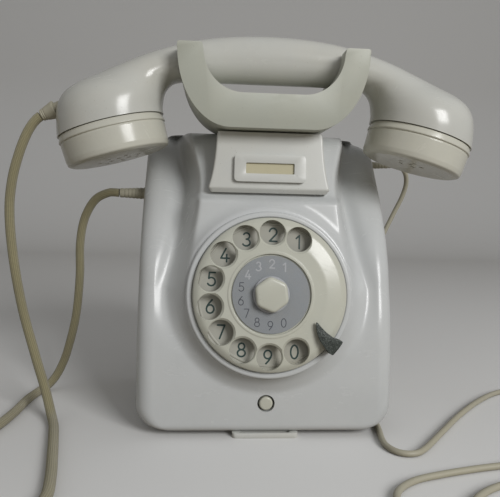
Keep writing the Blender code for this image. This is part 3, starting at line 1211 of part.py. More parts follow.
def make_cords(handset_end):
    box_end = entry_sleeve("handset_cord_entry", entry_spot(-1, HANDSET_ENTRY), -1,
                           HANDSET_CORD_R)
    line_end = entry_sleeve("line_cord_entry", entry_spot(1, LINE_ENTRY), 1, LINE_CORD_R)
    lower = [
        handset_end, at(-129, -12, 166.9), at(-134.4, -12, 161), at(-139, -11.7, 149.6),
        at(-142, -11, 134),
        at(-142.8, -10.5, 117), at(-140.8, -10, 93), at(-136.4, -9.4, 64),
        at(-129.6, -9.6, 37), at(-123.2, -12, 17), at(-118, -19, 5.2), at(-113.6, -30, 2.8),
        at(-109, -47, 2.8), at(-104, -67, 2.8), at(-99, -88, 2.8), at(-96.6, -104, 2.8),
        at(-99.5, -120, 2.8), at(-111, -132, 2.8), at(-127, -136.4, 2.8),
        at(-141, -134.4, 2.8), at(-153, -129.8, 2.8)]
    tube("handset_cord_front", spline_points(lower, HANDSET_CORD_STEP), HANDSET_CORD_R, TEXTILE)
    coil_ring("handset_cord_coil", HANDSET_COIL, TEXTILE)
    upper = [
        box_end, box_end + at(-6.3, 0, -0.1), box_end + at(-14.9, 1.2, -4.8),
        at(-109.4, 25, 112),
        at(-112.4, 26.6, 96), at(-113, 28.4, 76), at(-116, 31, 50), at(-122, 34.6, 27),
        at(-129, 37, 11), at(-135, 34.6, 3.8), at(-138.4, 25, 2.8), at(-139.6, 8, 2.8),
        at(-140.4, -12, 2.8), at(-143, -32, 2.8), at(-148, -49, 2.8), at(-156.4, -59, 2.8),
        at(-168.2, -64.2, 2.8)]
    tube("handset_cord_back", spline_points(upper, HANDSET_CORD_STEP), HANDSET_CORD_R, TEXTILE)
    line = [
        line_end, line_end + at(4.7, 0.2, 0), line_end + at(12.1, 3.6, -2.6), at(104.8, 56, 142),
        at(104.2, 61, 132), at(99, 64.6, 118), at(91.6, 66, 100), at(84.6, 66.6, 78),
        at(79.4, 67, 54), at(76.4, 67, 30), at(75.6, 66, 14), at(74.9, 59.5, 4.2),
        at(74, 49, 1.9), at(72.6, 36, 1.8), at(70, 16, 1.8), at(66.6, -10, 1.8), at(64, -34, 1.8),
        at(62, -50, 1.8), at(63.4, -61, 1.8), at(70.6, -65, 1.8), at(82, -56.4, 1.8),
        at(99, -38, 1.8), at(119, -15, 1.8), at(142, 8, 1.8), at(163, 24, 1.8),
        at(182, 29.6, 1.8), at(198, 22, 1.8), at(203, 5, 1.8), at(196, -18, 1.8),
        at(176, -42, 1.8), at(148, -63, 1.8), at(120, -75.4, 1.8), at(98, -80.6, 1.8),
        at(79, -85.6, 1.8), at(63, -91.4, 1.8), at(52, -101, 1.8), at(48.6, -114, 1.8),
        at(54, -124.6, 1.8), at(66, -126, 1.8), at(76, -117.4, 1.8), at(86, -105.6, 1.8),
        at(101, -96.4, 1.8), at(121, -91, 1.8), at(139, -84.6, 1.8), at(154.6, -75.6, 1.8)]
    tube("line_cord", spline_points(line, LINE_CORD_STEP), LINE_CORD_R, VINYL)
    coil_ring("line_cord_coil", LINE_COIL, VINYL)
    make_plug()


def make_plug():
    """A flat line plug, whose three round pins point to -X, lying beside the coil."""
    centre = LINE_COIL[0] + at(0, -(LINE_COIL[2] / MM + 10.5), 7.0)
    plug = box("line_plug", centre - at(15, 10, 7), centre + at(15, 10, 7), VINYL,
               bevel=2.5 * MM)
    for i in range(3):
        y = centre.y + (i - 1) * 5.5 * MM
        join(plug, rod(f"plug_pin_{i}", (centre.x - 13 * MM, y, centre.z),
                       (centre.x - 25 * MM, y, centre.z), 1.5 * MM, None, 8))


def main():
    make_housing()
    make_back()
    make_feet()
    make_wheel()
    make_gears()
    make_dial_case()
    make_finger_stop()
    make_neck()
    make_fork()
    make_hook_switch()
    handset_end, _ = make_handset()
    make_button()
    make_bell()
    make_circuit()
    make_cords(handset_end)
    bpy.context.view_layer.update()


main()
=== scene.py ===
"""Finishes and finely shaped pieces of a rotary telephone, set round its fixed frame.

Metres, +Z up. The dial faces -Y, and the telephone stands on its lower end.
"""

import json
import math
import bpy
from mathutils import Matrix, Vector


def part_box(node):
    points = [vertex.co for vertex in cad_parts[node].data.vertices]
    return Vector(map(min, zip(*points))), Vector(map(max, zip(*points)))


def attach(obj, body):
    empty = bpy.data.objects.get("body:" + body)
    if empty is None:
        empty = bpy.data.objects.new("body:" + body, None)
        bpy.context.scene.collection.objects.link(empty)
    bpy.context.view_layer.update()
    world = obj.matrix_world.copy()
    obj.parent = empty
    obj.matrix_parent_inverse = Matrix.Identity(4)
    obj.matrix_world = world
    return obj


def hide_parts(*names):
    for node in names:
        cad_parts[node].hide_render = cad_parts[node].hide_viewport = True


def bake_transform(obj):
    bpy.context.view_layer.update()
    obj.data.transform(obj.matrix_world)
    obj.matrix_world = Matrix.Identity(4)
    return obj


bl_info = {
    "name": "Rotary telephone dressing",
    "version": (1, 0, 0),
    "blender": (4, 5, 0),
    "location": "3D View > Sidebar > Telephone",
    "description": "Shapes and finishes the visible pieces of a rotary telephone",
    "category": "Add Mesh",
}

import bmesh
import bpy
from bpy.props import FloatProperty, FloatVectorProperty, IntProperty, PointerProperty
from mathutils import Matrix, Vector

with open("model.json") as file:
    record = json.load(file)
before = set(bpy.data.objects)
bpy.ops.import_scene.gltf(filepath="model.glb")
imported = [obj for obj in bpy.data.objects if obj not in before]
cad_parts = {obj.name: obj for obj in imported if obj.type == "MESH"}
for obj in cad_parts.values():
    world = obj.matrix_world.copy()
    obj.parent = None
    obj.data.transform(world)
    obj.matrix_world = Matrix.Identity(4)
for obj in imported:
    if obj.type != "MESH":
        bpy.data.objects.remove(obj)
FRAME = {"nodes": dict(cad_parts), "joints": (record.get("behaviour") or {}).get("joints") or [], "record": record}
NODES = FRAME["nodes"]
JOINTS = {joint["name"]: joint for joint in FRAME["joints"]}
SLOTS = {part["node"]: part["material_slot"] for part in FRAME["record"]["subparts"]}
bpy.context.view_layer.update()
MM = 0.001
MERGE = 0.002 * MM     # vertices that lie this close are one


def dial_place():
    """The dial's own frame: Z runs out along its axis, and Y up its face."""
    joint = JOINTS["dial_turn"]
    out = Vector(joint["axis"]).normalized()
    right = Vector((1.0, 0.0, 0.0))
    up = out.cross(right)
    turn = Matrix((right, up, out)).transposed().to_4x4()
    return Matrix.Translation(Vector(joint["pos_m"])) @ turn


DIAL = dial_place()
HOUSING_LOW, HOUSING_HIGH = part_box("housing")
GRIP_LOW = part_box("handset_grip")[0]
FORK_LOW, FORK_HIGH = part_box("cradle_fork")
NECK_LOW, NECK_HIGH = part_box("neck_cover")
FOOT_LOW, FOOT_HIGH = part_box("foot_strip")


# Settings

def length(name, description, default):
    return FloatProperty(name=name, description=description, default=default, unit="LENGTH",
                         precision=5)


def angle(name, description, default):
    return FloatProperty(name=name, description=description, default=math.radians(default),
                         subtype="ANGLE")


def tint(name, description, default):
    return FloatVectorProperty(name=name, description=description, default=default, size=3,
                               min=0.0, max=1.0, subtype="COLOR")


def amount(name, description, default, high=10.0):
    return FloatProperty(name=name, description=description, default=default, min=0.0, max=high)


class FinishSettings(bpy.types.PropertyGroup):
    housing: tint("Housing", "Colour of the moulded housing", (0.570, 0.585, 0.585))
    handset: tint("Handset", "Colour of the handset's grip", (0.560, 0.565, 0.530))
    caps: tint("Caps", "Colour of the handset's two caps", (0.575, 0.570, 0.500))
    neck: tint("Neck cover", "Colour of the cover under the fork", (0.605, 0.615, 0.590))
    wheel: tint("Finger wheel", "Colour of the finger wheel and its nut", (0.550, 0.555, 0.480))
    fork: tint("Fork", "Colour of the cradle fork", (0.440, 0.455, 0.395))
    disc: tint("Centre card", "Colour of the card in the wheel's middle", (0.268, 0.285, 0.300))
    plate: tint("Number plate", "Colour behind the finger holes", (0.420, 0.415, 0.365))
    digits: tint("Digits", "Colour of the digits behind the holes", (0.020, 0.050, 0.045))
    paper: tint("Label card", "Colour of the bare card in its frame", (0.520, 0.482, 0.335))
    stop: tint("Finger stop", "Colour of the hammered enamel", (0.024, 0.030, 0.025))
    textile: tint("Handset cord", "Colour of the braid", (0.365, 0.328, 0.190))
    vinyl: tint("Line cord", "Colour of the smooth sheath", (0.400, 0.380, 0.295))
    wear: amount("Wear", "How much scuffing and grime the plastics show", 1.0)


class HousingSettings(bpy.types.PropertyGroup):
    half_back: length("Half width at the back", "Half the housing's width at its back", 0.072)
    half_front: length("Half width in front", "Half the housing's width at its front", 0.0693)
    corner: length("Corner", "Radius of the corners seen from the front", 0.014)
    edge: length("Front edge", "Radius of the front edges seen from above", 0.009)
    foot_edge: length("Foot edge", "Radius of the front edge at the bottom", 0.004)
    draft: length("Draft line", "How far in front the half width in front is measured", 0.0484)
    drum: length("Drum radius", "Round lower end of the block behind the dial", 0.0447)
    wall: length("Wall", "Thickness of the moulding", 0.0026)
    lean: angle("Face lean", "How far the dial's face leans back", 9.0)
    face_depth: length("Face depth", "The face's distance in front of the origin", 0.037)
    shelf: length("Shelf height", "Top of the block that carries the dial", 0.125)
    neck_foot: length("Neck foot height", "Where the neck cover's seat starts", 0.130)
    neck_seat: length("Neck seat depth", "The seat's distance in front of the origin", 0.022)
    neck_slant: amount("Neck slant", "How far the seat goes back for each unit up", 0.53)
    flute_width: length("Flute width", "Half the width of the groove beside the block", 0.0055)
    block_side: length("Block side", "Width of the block's rounded sides", 0.011)


class DialSettings(bpy.types.PropertyGroup):
    wheel: length("Wheel radius", "Radius of the finger wheel", 0.040)
    hole: length("Finger hole radius", "Radius of a finger hole's wall", 0.00645)
    pitch: length("Hole circle", "Radius of the circle that the holes lie on", 0.0319)
    first: angle("First hole", "Angle of the hole over the digit 1", 63.5)
    step: angle("Hole spacing", "Angle from one hole to the next", 25.7)
    card: length("Card radius", "Radius of the centre card's recess", 0.0206)
    nut: length("Nut width", "Width of the centre nut across its flats", 0.0164)
    plate: length("Plate depth", "How far the number plate lies behind the wheel", 0.0075)
    collar: length("Collar radius", "Radius of the collar's lip", 0.0428)
    digit: length("Digit height", "Height of the digits behind the holes", 0.0068)
    small_digit: length("Small digit height", "Height of the digits on the card", 0.0043)


class HandsetSettings(bpy.types.PropertyGroup):
    depth_place: length("Handset depth", "The handset's middle, in front of the origin", 0.012)
    ear_x: length("Cup spread", "Distance of each cup's middle from the centre", 0.0868)
    ear_z: length("Cup height", "Height of each cup's middle", 0.1647)
    tilt: angle("Cup tilt", "How far each cup's mouth turns inwards", 16.0)
    cup: length("Cup radius", "Radius of the caps at their seams", 0.0293)
    cap: length("Cap height", "Height of a cap from its seam to its face", 0.0176)
    sound_hole: length("Sound hole radius", "Radius of the holes in the caps", 0.0013)


class ForkSettings(bpy.types.PropertyGroup):
    rounding: length("Edge rounding", "Radius of the fork's edges", 0.0023)


class CordSettings(bpy.types.PropertyGroup):
    handset: length("Handset cord", "Diameter of the braided cord", 0.0052)
    line: length("Line cord", "Diameter of the smooth cord", 0.0032)
    sides: IntProperty(name="Sides", description="Faces round a cord", default=16, min=8, max=32)


class StageSettings(bpy.types.PropertyGroup):
    camera: FloatVectorProperty(name="Camera", description="Place of the camera", size=3,
                                default=(-0.0316, -0.3264, 0.1265), subtype="TRANSLATION",
                                unit="LENGTH", precision=5)
    yaw: angle("Yaw", "How far the camera turns to the right", 4.19)
    pitch: angle("Pitch", "How far the camera looks up", -5.0)
    roll: angle("Roll", "How far the camera leans to the left", 1.5)
    lens: FloatProperty(name="Lens", description="Focal length in millimetres, on a 36 mm sensor",
                        default=39.96, min=10.0, max=200.0)
    floor: tint("Floor", "Colour of the floor and the backdrop", (0.80, 0.80, 0.79))
    shade: tint("Floor's light", "Colour of the light that the floor returns", (0.24, 0.20, 0.14))
    key: amount("Key light", "Power of the lamp above at the right, in watts", 10.0, 100.0)
    fill: amount("Fill light", "Power of the lamp at the left, in watts", 0.3, 100.0)
    sky: amount("Sky", "Strength of the even light from all round", 0.28)


SETTINGS = {
    "telephone_finish": FinishSettings, "telephone_housing": HousingSettings,
    "telephone_dial": DialSettings, "telephone_handset": HandsetSettings,
    "telephone_fork": ForkSettings, "telephone_cords": CordSettings,
    "telephone_stage": StageSettings,
}


# Finishes

class Value:
    """A socket of a finish, which takes part in ordinary sums."""

    def __init__(self, finish, socket):
        self.finish = finish
        self.socket = socket

    def _sum(self, operation, first, second=0.0):
        return self.finish.node("ShaderNodeMath", {"operation": operation}, {0: first, 1: second})

    def __add__(self, other):
        return self._sum("ADD", self, other)

    __radd__ = __add__

    def __sub__(self, other):
        return self._sum("SUBTRACT", self, other)

    def __rsub__(self, other):
        return self._sum("SUBTRACT", other, self)

    def __mul__(self, other):
        return self._sum("MULTIPLY", self, other)

    __rmul__ = __mul__

    def sine(self):
        return self._sum("SINE", self)

    def clamped(self):
        return self.finish.node("ShaderNodeClamp", {}, {"Value": self})

    def above(self, low, high):
        """0 under low, 1 over high, and smooth between them."""
        return self.finish.node("ShaderNodeMapRange", {"interpolation_type": "SMOOTHSTEP"},
                                {"Value": self, "From Min": low, "From Max": high})


FINISH = "finish_"     # starts the names of this script's materials, as the frame has its own


class Finish:
    """A material whose nodes are written as expressions."""

    def __init__(self, name, **sockets):
        self.material = bpy.data.materials.new(FINISH + name)
        self.material.use_nodes = True
        self.tree = self.material.node_tree
        self.shader = self.tree.nodes["Principled BSDF"]
        self.set(**sockets)

    def feed(self, socket, value):
        if isinstance(value, Value):
            self.tree.links.new(value.socket, socket)
        elif socket.type == "RGBA" and len(value) == 3:
            socket.default_value = (*value, 1.0)
        else:
            socket.default_value = value

    def set(self, **sockets):
        for name, value in sockets.items():
            self.feed(self.shader.inputs[name.replace("_", " ").title()], value)

    def node(self, kind, settings, sockets, output=0):
        made = self.tree.nodes.new(kind)
        for name, value in settings.items():
            setattr(made, name, value)
        for name, value in sockets.items():
            self.feed(made.inputs[name], value)
        return Value(self, made.outputs[output])

    def place(self, scale=(1.0, 1.0, 1.0), turn=(0.0, 0.0, 0.0)):
        """Object coordinates, turned and scaled."""
        found = self.node("ShaderNodeTexCoord", {}, {}, "Object")
        return self.node("ShaderNodeMapping", {"vector_type": "TEXTURE"},
                         {"Vector": found, "Rotation": turn,
                          "Scale": tuple(1.0 / part for part in scale)})

    def noise(self, scale, detail=3.0, roughness=0.5, place=None):
        return self.node("ShaderNodeTexNoise", {},
                         {"Vector": place or self.place(), "Scale": scale, "Detail": detail,
                          "Roughness": roughness})

    def cells(self, scale):
        return self.node("ShaderNodeTexVoronoi", {},
                         {"Vector": self.place(), "Scale": scale}, "Distance")

    def mix(self, share, first, second):
        return self.node("ShaderNodeMix", {"data_type": "RGBA"}, {0: share, 6: first, 7: second},
                         2)

    def parts(self, vector):
        """The X, Y and Z of a vector."""
        split = self.node("ShaderNodeSeparateXYZ", {}, {"Vector": vector})
        return [Value(self, socket) for socket in split.socket.node.outputs]

    def bump(self, height, depth):
        return self.node("ShaderNodeBump", {},
                         {"Height": height, "Distance": depth, "Strength": 1.0})


def shade(color, share):
    """The same colour, darker or lighter."""
    return tuple(min(1.0, part * share) for part in color)


def blended(first, second, share):
    return tuple(a + (b - a) * share for a, b in zip(first, second))


YELLOWED = (0.60, 0.52, 0.33)
GRIME = (0.20, 0.17, 0.12)


def plastic(name, color, gloss, wear, grain=0.00001, yellow=0.10):
    """A moulded plastic: uneven ageing, fine flow marks, scuffs and specks of dirt."""
    made = Finish(name)
    ageing = made.noise(14.0, 4.0, 0.6).above(0.35, 0.75)
    tone = made.mix(ageing * (0.5 + 0.5 * wear), color, blended(color, YELLOWED, yellow))
    clouds = made.noise(90.0, 5.0, 0.65).above(0.40, 0.75)
    tone = made.mix(clouds * 0.35, tone, shade(color, 0.93))
    specks = made.cells(420.0).above(0.045, 0.10)
    rare = made.noise(60.0, 2.0).above(0.52, 0.60)
    dirt = (1.0 - specks) * rare * 0.55 * wear
    tone = made.mix(dirt, tone, GRIME)
    scuffs = made.noise(1.0, 6.0, 0.7, made.place((40.0, 400.0, 90.0), turn=(0.3, 0.5, 0.2)))
    rubbed = scuffs.above(0.55, 0.75) * wear
    fine = made.noise(700.0, 3.0, 0.6)
    level = gloss + 0.10 * made.noise(35.0, 4.0) + 0.16 * rubbed + 0.25 * dirt
    relief = made.bump(fine + 0.3 * rubbed, 0.6 * grain)
    made.set(base_color=tone, roughness=level.clamped(), normal=relief)
    made.shader.inputs["Specular IOR Level"].default_value = 0.5


def metal(name, color, gloss, blotches, lines=(1.0, 1.0, 12.0)):
    """A bare or plated metal with drawn lines and dull spots."""
    made = Finish(name, metallic=1.0)
    spots = made.noise(120.0, 5.0, 0.7).above(0.5, 0.8)
    drawn = made.noise(300.0, 4.0, 0.7, made.place(lines))
    tone = made.mix(spots * blotches, color, shade(color, 0.55))
    made.set(base_color=tone, roughness=(gloss + 0.15 * drawn + 0.25 * spots).clamped(),
             normal=made.bump(drawn, 0.000012))


def hammered(name, color):
    """Grey enamel whose skin sets in small dimples."""
    made = Finish(name, metallic=0.15)
    dimples = made.cells(1300.0)
    flecks = made.noise(1900.0, 2.0).above(0.48, 0.62)
    tone = made.mix(flecks * 0.5, color, (0.15, 0.17, 0.15))
    made.set(base_color=tone, roughness=0.38 + 0.2 * dimples, normal=made.bump(dimples, 0.00012))


def card(name, color, fibre=900.0, stain=0.25):
    """Printed or bare card: fibres, and patches of stain."""
    made = Finish(name)
    fibres = made.noise(fibre, 4.0, 0.7, made.place((1.0, 3.0, 1.0)))
    patches = made.noise(150.0, 3.0).above(0.40, 0.75)
    tone = made.mix(patches * stain, color, blended(shade(color, 0.8), YELLOWED, 0.25))
    tone = made.mix(fibres * 0.22, tone, shade(color, 1.22))
    made.set(base_color=tone, roughness=0.62 + 0.2 * fibres, normal=made.bump(fibres, 0.00004))


def clear(name):
    """Clear plastic with a trace of haze and fine scratches."""
    made = Finish(name, base_color=(0.55, 0.56, 0.58))
    haze = made.noise(220.0, 5.0, 0.7).above(0.5, 0.8)
    scratches = made.noise(1.0, 3.0, 0.8, made.place((60.0, 60.0, 1500.0), turn=(0, 0.6, 0.3)))
    made.set(alpha=0.01 + 0.05 * haze, roughness=0.08 + 0.2 * haze,
             normal=made.bump(scratches, 0.00002))


def winding(name):
    """Varnished copper wire, wound turn beside turn up a coil, with painted shade between the turns and painted
    light on their crests.
    """
    made = Finish(name)
    _, _, height = made.parts(made.place())
    turns = (height * (math.tau / 0.0006)).sine() * 0.5 + 0.5
    # painted shade and light: the wire's colour darkens between the turns and lightens on their crests
    tone = made.mix(turns, (0.16, 0.06, 0.025), (0.45, 0.20, 0.08))
    made.set(base_color=tone, roughness=0.30 + 0.2 * turns, normal=made.bump(turns, 0.0002))


def braid(name, color, around, along):
    """A braided textile sheath, with painted shade in the weave's hollows and painted light on its raised threads.
    Its coordinates run round the cord and along it.
    """
    made = Finish(name)
    found = made.node("ShaderNodeUVMap", {"uv_map": "UVMap"}, {})
    across, run, _ = made.parts(found)
    left = ((across * around + run * along) * math.tau).sine()
    right = ((across * around - run * along) * math.tau).sine()
    threads = ((across * around * 6.0) * math.tau).sine() * 0.5 + 0.5
    height = (left * right) * 0.5 + 0.5
    soil = made.noise(30.0, 4.0, 0.6).above(0.35, 0.75)
    # painted shade and light: the colour darkens where the weave sinks and lightens where it rises
    tone = made.mix(height, shade(color, 0.50), shade(color, 1.28))
    tone = made.mix(soil * 0.45, tone, shade(color, 0.70))
    fuzz = made.noise(2500.0, 3.0)
    relief = height + 0.25 * threads + 0.3 * fuzz
    made.set(base_color=tone, roughness=0.78 + 0.12 * fuzz, normal=made.bump(relief, 0.00028))
    made.shader.inputs["Sheen Weight"].default_value = 0.3


def make_finishes(colors):
    wear = colors.wear
    plastic("housing_white", colors.housing, 0.20, 0.5 * wear, yellow=0.05)
    plastic("handset_cream", colors.handset, 0.16, wear, yellow=0.12)
    plastic("cap_cream", colors.caps, 0.16, wear, yellow=0.14)
    plastic("neck_cream", colors.neck, 0.24, wear, yellow=0.12)
    plastic("wheel_cream", colors.wheel, 0.18, wear, yellow=0.14)
    plastic("plate_cream", colors.plate, 0.30, wear, yellow=0.2)
    plastic("fork_beige", colors.fork, 0.42, wear, grain=0.00003, yellow=0.12)
    plastic("moulded_black", (0.018, 0.018, 0.020), 0.35, 0.4, yellow=0.0)
    plastic("cord_vinyl", colors.vinyl, 0.42, wear, grain=0.00003, yellow=0.15)
    plastic("rubber_grey", (0.16, 0.155, 0.145), 0.70, 0.6, grain=0.00006, yellow=0.05)
    plastic("digit_ink", colors.digits, 0.35, 0.0, yellow=0.0)
    plastic("faded_ink", (0.42, 0.43, 0.45), 0.45, 0.0, yellow=0.0)
    plastic("grey_ink", (0.060, 0.065, 0.080), 0.45, 0.0, yellow=0.0)
    card("card_grey", colors.disc, 1100.0, 0.18)
    card("paper", colors.paper)
    clear("clear_window")
    hammered("stop_grey", colors.stop)
    metal("steel", (0.54, 0.54, 0.53), 0.28, 0.5)
    metal("capsule_aluminium", (0.66, 0.66, 0.67), 0.30, 0.3)
    metal("brass", (0.66, 0.49, 0.22), 0.24, 0.5, (1.0, 12.0, 1.0))
    winding("coil_winding")
    braid("cord_textile", colors.textile, 8.0, 900.0)


CAD_FINISH = {
    "neck_cover": "neck_cream", "label_frame": "neck_cream", "number_plate": "plate_cream",
    "foot_strip": "neck_cream", "mouth_cap": "cap_cream", "ear_cap": "cap_cream",
}


def dress_frame():
    """Gives every node of the frame the finish of its slot, or one of its own."""
    for name, node in NODES.items():
        finish = bpy.data.materials[FINISH + CAD_FINISH.get(name, SLOTS[name])]
        node.data.materials.clear()
        node.data.materials.append(finish)


# Modelling helpers

def placed(name, shape, matrix=None):
    """An object from a bmesh, whose place is in its mesh."""
    if matrix is not None:
        bmesh.ops.transform(shape, matrix=matrix, verts=shape.verts)
    mesh = bpy.data.meshes.new(name)
    shape.to_mesh(mesh)
    shape.free()
    made = bpy.data.objects.new(name, mesh)
    bpy.context.scene.collection.objects.link(made)
    return made


def piece(name, shape, finish, *stands_for, matrix=None, body="telephone_body", crease=35.0):
    """Makes a finished piece from a bmesh, and gives it its finish and, if it has one, its body.

    It stands for the nodes of the frame that are named.
    """
    made = placed(name, shape, matrix)
    made.data.materials.append(bpy.data.materials[FINISH + finish])
    smooth(made, crease)
    if body:
        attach(made, body)
    if stands_for:
        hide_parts(*stands_for)
    return made


def smooth(made, crease):
    made.data.shade_smooth()
    made.data.set_sharp_from_angle(angle=math.radians(crease))


def tool(shape, matrix=None):
    """A shape that only cuts or joins."""
    return placed("tool", shape, matrix)


def settle(made, crease=35.0):
    """Keeps what a piece's modifiers make as its plain mesh."""
    bpy.context.view_layer.update()
    evaluated = made.evaluated_get(bpy.context.evaluated_depsgraph_get())
    mesh = bpy.data.meshes.new_from_object(evaluated)
    made.modifiers.clear()
    made.data = mesh
    smooth(made, crease)


def carve(made, *tools, operation="DIFFERENCE", crease=35.0):
    for other in tools:
        change = made.modifiers.new("carve", "BOOLEAN")
        change.operation = operation
        change.solver = "EXACT"
        change.object = other
    settle(made, crease)
    for other in tools:
        bpy.data.objects.remove(other, do_unlink=True)


def round_edges(made, width, segments=3, limit=35.0):
    bevel = made.modifiers.new("round_edges", "BEVEL")
    bevel.width = width
    bevel.segments = segments
    bevel.limit_method = "ANGLE"
    bevel.angle_limit = math.radians(limit)
    bevel.harden_normals = True
    return made


def skin(columns, rows, place):
    """A grid wrapped into a closed skin by place(around, along), each from 0 to 1."""
    shape = bmesh.new()
    shape.loops.layers.uv.new("UVMap")
    bmesh.ops.create_grid(shape, x_segments=columns, y_segments=rows, size=0.5, calc_uvs=True)
    for corner in shape.verts:
        corner.co = place(corner.co.x + 0.5, corner.co.y + 0.5)
    bmesh.ops.remove_doubles(shape, verts=shape.verts, dist=MERGE)
    bmesh.ops.holes_fill(shape, edges=shape.edges, sides=0)
    bmesh.ops.recalc_face_normals(shape, faces=shape.faces)
    return shape


def spun(profile, steps=96, closed=False):
    """A profile of (radius, height) points in millimetres, turned about Z."""
    shape = bmesh.new()
    rim = [shape.verts.new((radius * MM, 0.0, height * MM)) for radius, height in profile]
    edges = [shape.edges.new(pair) for pair in zip(rim, rim[1:])]
    if closed:
        edges.append(shape.edges.new((rim[-1], rim[0])))
    bmesh.ops.spin(shape, geom=rim + edges, cent=(0, 0, 0), axis=(0, 0, 1), angle=math.tau,
                   steps=steps, use_merge=True)
    bmesh.ops.remove_doubles(shape, verts=shape.verts, dist=MERGE)
    bmesh.ops.recalc_face_normals(shape, faces=shape.faces)
    return shape


def pointing(start, away):
    """A frame at a start whose Z points away."""
    return Matrix.Translation(start) @ Vector(away).to_track_quat("Z", "Y").to_matrix().to_4x4()


def middle_of(node):
    low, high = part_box(node)
    return (low + high) / 2


def rod(start, end, radius, sides=24):
    start, end = Vector(start), Vector(end)
    shape = bmesh.new()
    bmesh.ops.create_cone(shape, cap_ends=True, segments=sides, radius1=radius, radius2=radius,
                          depth=(end - start).length)
    bmesh.ops.transform(shape, matrix=pointing((start + end) / 2, end - start), verts=shape.verts)
    return shape


def block(low, high, bevel=0.0, segments=3):
    shape = bmesh.new()
    bmesh.ops.create_cube(shape, size=1.0)
    low, high = Vector(low), Vector(high)
    bmesh.ops.scale(shape, vec=high - low, verts=shape.verts)
    bmesh.ops.translate(shape, vec=(low + high) / 2, verts=shape.verts)
    if bevel:
        bmesh.ops.bevel(shape, geom=shape.edges[:], offset=bevel, affect="EDGES",
                        segments=segments, profile=0.5, clamp_overlap=True, material=-1)
    return shape


def slab(outlines, low, high):
    """Closed outlines, the first one outside, filled and given a thickness."""
    shape = bmesh.new()
    for outline in outlines:
        rim = [shape.verts.new((x, y, low)) for x, y in outline]
        for pair in zip(rim, rim[1:] + rim[:1]):
            shape.edges.new(pair)
    if len(outlines) == 1:
        bmesh.ops.contextual_create(shape, geom=shape.edges[:])
    else:
        bmesh.ops.triangle_fill(shape, use_beauty=True, use_dissolve=False, edges=shape.edges[:])
    raised = bmesh.ops.extrude_face_region(shape, geom=shape.faces[:])["geom"]
    bmesh.ops.translate(shape, vec=(0, 0, high - low),
                        verts=[item for item in raised if isinstance(item, bmesh.types.BMVert)])
    bmesh.ops.recalc_face_normals(shape, faces=shape.faces)
    return shape


def softened(points, steps=5, loop=False):
    """Rounds each (x, y, radius) corner of an outline or profile."""
    made = []
    for i, (x, y, radius) in enumerate(points):
        if radius <= 0.0 or (not loop and i in (0, len(points) - 1)):
            made.append((x, y))
            continue
        here = Vector((x, y))
        before = Vector(points[i - 1][:2]) - here
        after = Vector(points[(i + 1) % len(points)][:2]) - here
        opening = before.angle(after)
        reach = min(radius / max(0.05, math.tan(opening / 2)), 0.49 * before.length,
                    0.49 * after.length)
        first, last = here + before.normalized() * reach, here + after.normalized() * reach
        for k in range(steps + 1):
            t = k / steps
            spot = first * (1 - t) ** 2 + here * 2 * t * (1 - t) + last * t ** 2
            made.append((spot.x, spot.y))
    return made


def rectangle(half_x, half_y, radius, steps=6):
    return softened([(half_x, half_y, radius), (-half_x, half_y, radius),
                     (-half_x, -half_y, radius), (half_x, -half_y, radius)], steps, True)


def smooth_step(value):
    value = min(1.0, max(0.0, value))
    return value * value * (3.0 - 2.0 * value)


def through(stations, z):
    """A smooth value at z through (z, value) stations."""
    if z <= stations[0][0]:
        return stations[0][1]
    if z >= stations[-1][0]:
        return stations[-1][1]
    index = max(i for i, station in enumerate(stations[:-1]) if station[0] <= z)
    (z0, v0), (z1, v1) = stations[index], stations[index + 1]
    before = stations[index - 1] if index else stations[index]
    after = stations[min(index + 2, len(stations) - 1)]
    slope0 = (v1 - before[1]) / (z1 - before[0])
    slope1 = (after[1] - v0) / (after[0] - z0)
    t, span = (z - z0) / (z1 - z0), z1 - z0
    return ((2 * t ** 3 - 3 * t ** 2 + 1) * v0 + (t ** 3 - 2 * t ** 2 + t) * span * slope0
            + (3 * t ** 2 - 2 * t ** 3) * v1 + (t ** 3 - t ** 2) * span * slope1)


def between_points(p0, p1, p2, p3, t):
    """A smooth curve's point between p1 and p2, on its way from p0 to p3."""
    return 0.5 * (2 * p1 + (p2 - p0) * t + (2 * p0 - 5 * p1 + 4 * p2 - p3) * t * t
                  + (3 * p1 - p0 - 3 * p2 + p3) * t ** 3)


def curve_through(route, spacing):
    """Evenly spaced points on a smooth curve through a route's points."""
    route = [Vector(point) for point in route]
    padded = [2 * route[0] - route[1], *route, 2 * route[-1] - route[-2]]
    dense = []
    for p0, p1, p2, p3 in zip(padded, padded[1:], padded[2:], padded[3:]):
        for i in range(24):
            dense.append(between_points(p0, p1, p2, p3, i / 24))
    dense.append(route[-1])
    run = [0.0]
    for a, b in zip(dense, dense[1:]):
        run.append(run[-1] + (b - a).length)
    count = max(2, round(run[-1] / spacing))
    points, at = [], 0
    for i in range(count + 1):
        wanted = run[-1] * i / count
        while at < len(run) - 2 and run[at + 1] < wanted:
            at += 1
        part = (wanted - run[at]) / max(1e-9, run[at + 1] - run[at])
        points.append(dense[at].lerp(dense[at + 1], part))
    return points


def tube(points, radius, sides):
    """A round tube along points, with closed ends and a mesh seam that doesn't twist."""
    turns = []
    tangents = [(b - a).normalized() for a, b in zip(points, points[1:])]
    tangents = [tangents[0]] + [(a + b).normalized() for a, b in zip(tangents, tangents[1:])] \
        + [tangents[-1]]
    side = tangents[0].orthogonal().normalized()
    for tangent in tangents:
        side = (side - tangent * side.dot(tangent)).normalized()
        turns.append((side.copy(), tangent.cross(side)))
    last = len(points) - 1

    def place(around, along):
        at = min(last, round(along * last))
        first, second = turns[at]
        swing = math.tau * around
        return points[at] + radius * (math.cos(swing) * first + math.sin(swing) * second)

    return skin(sides, last, place)


def path_length(points):
    return sum((b - a).length for a, b in zip(points, points[1:]))


# Housing

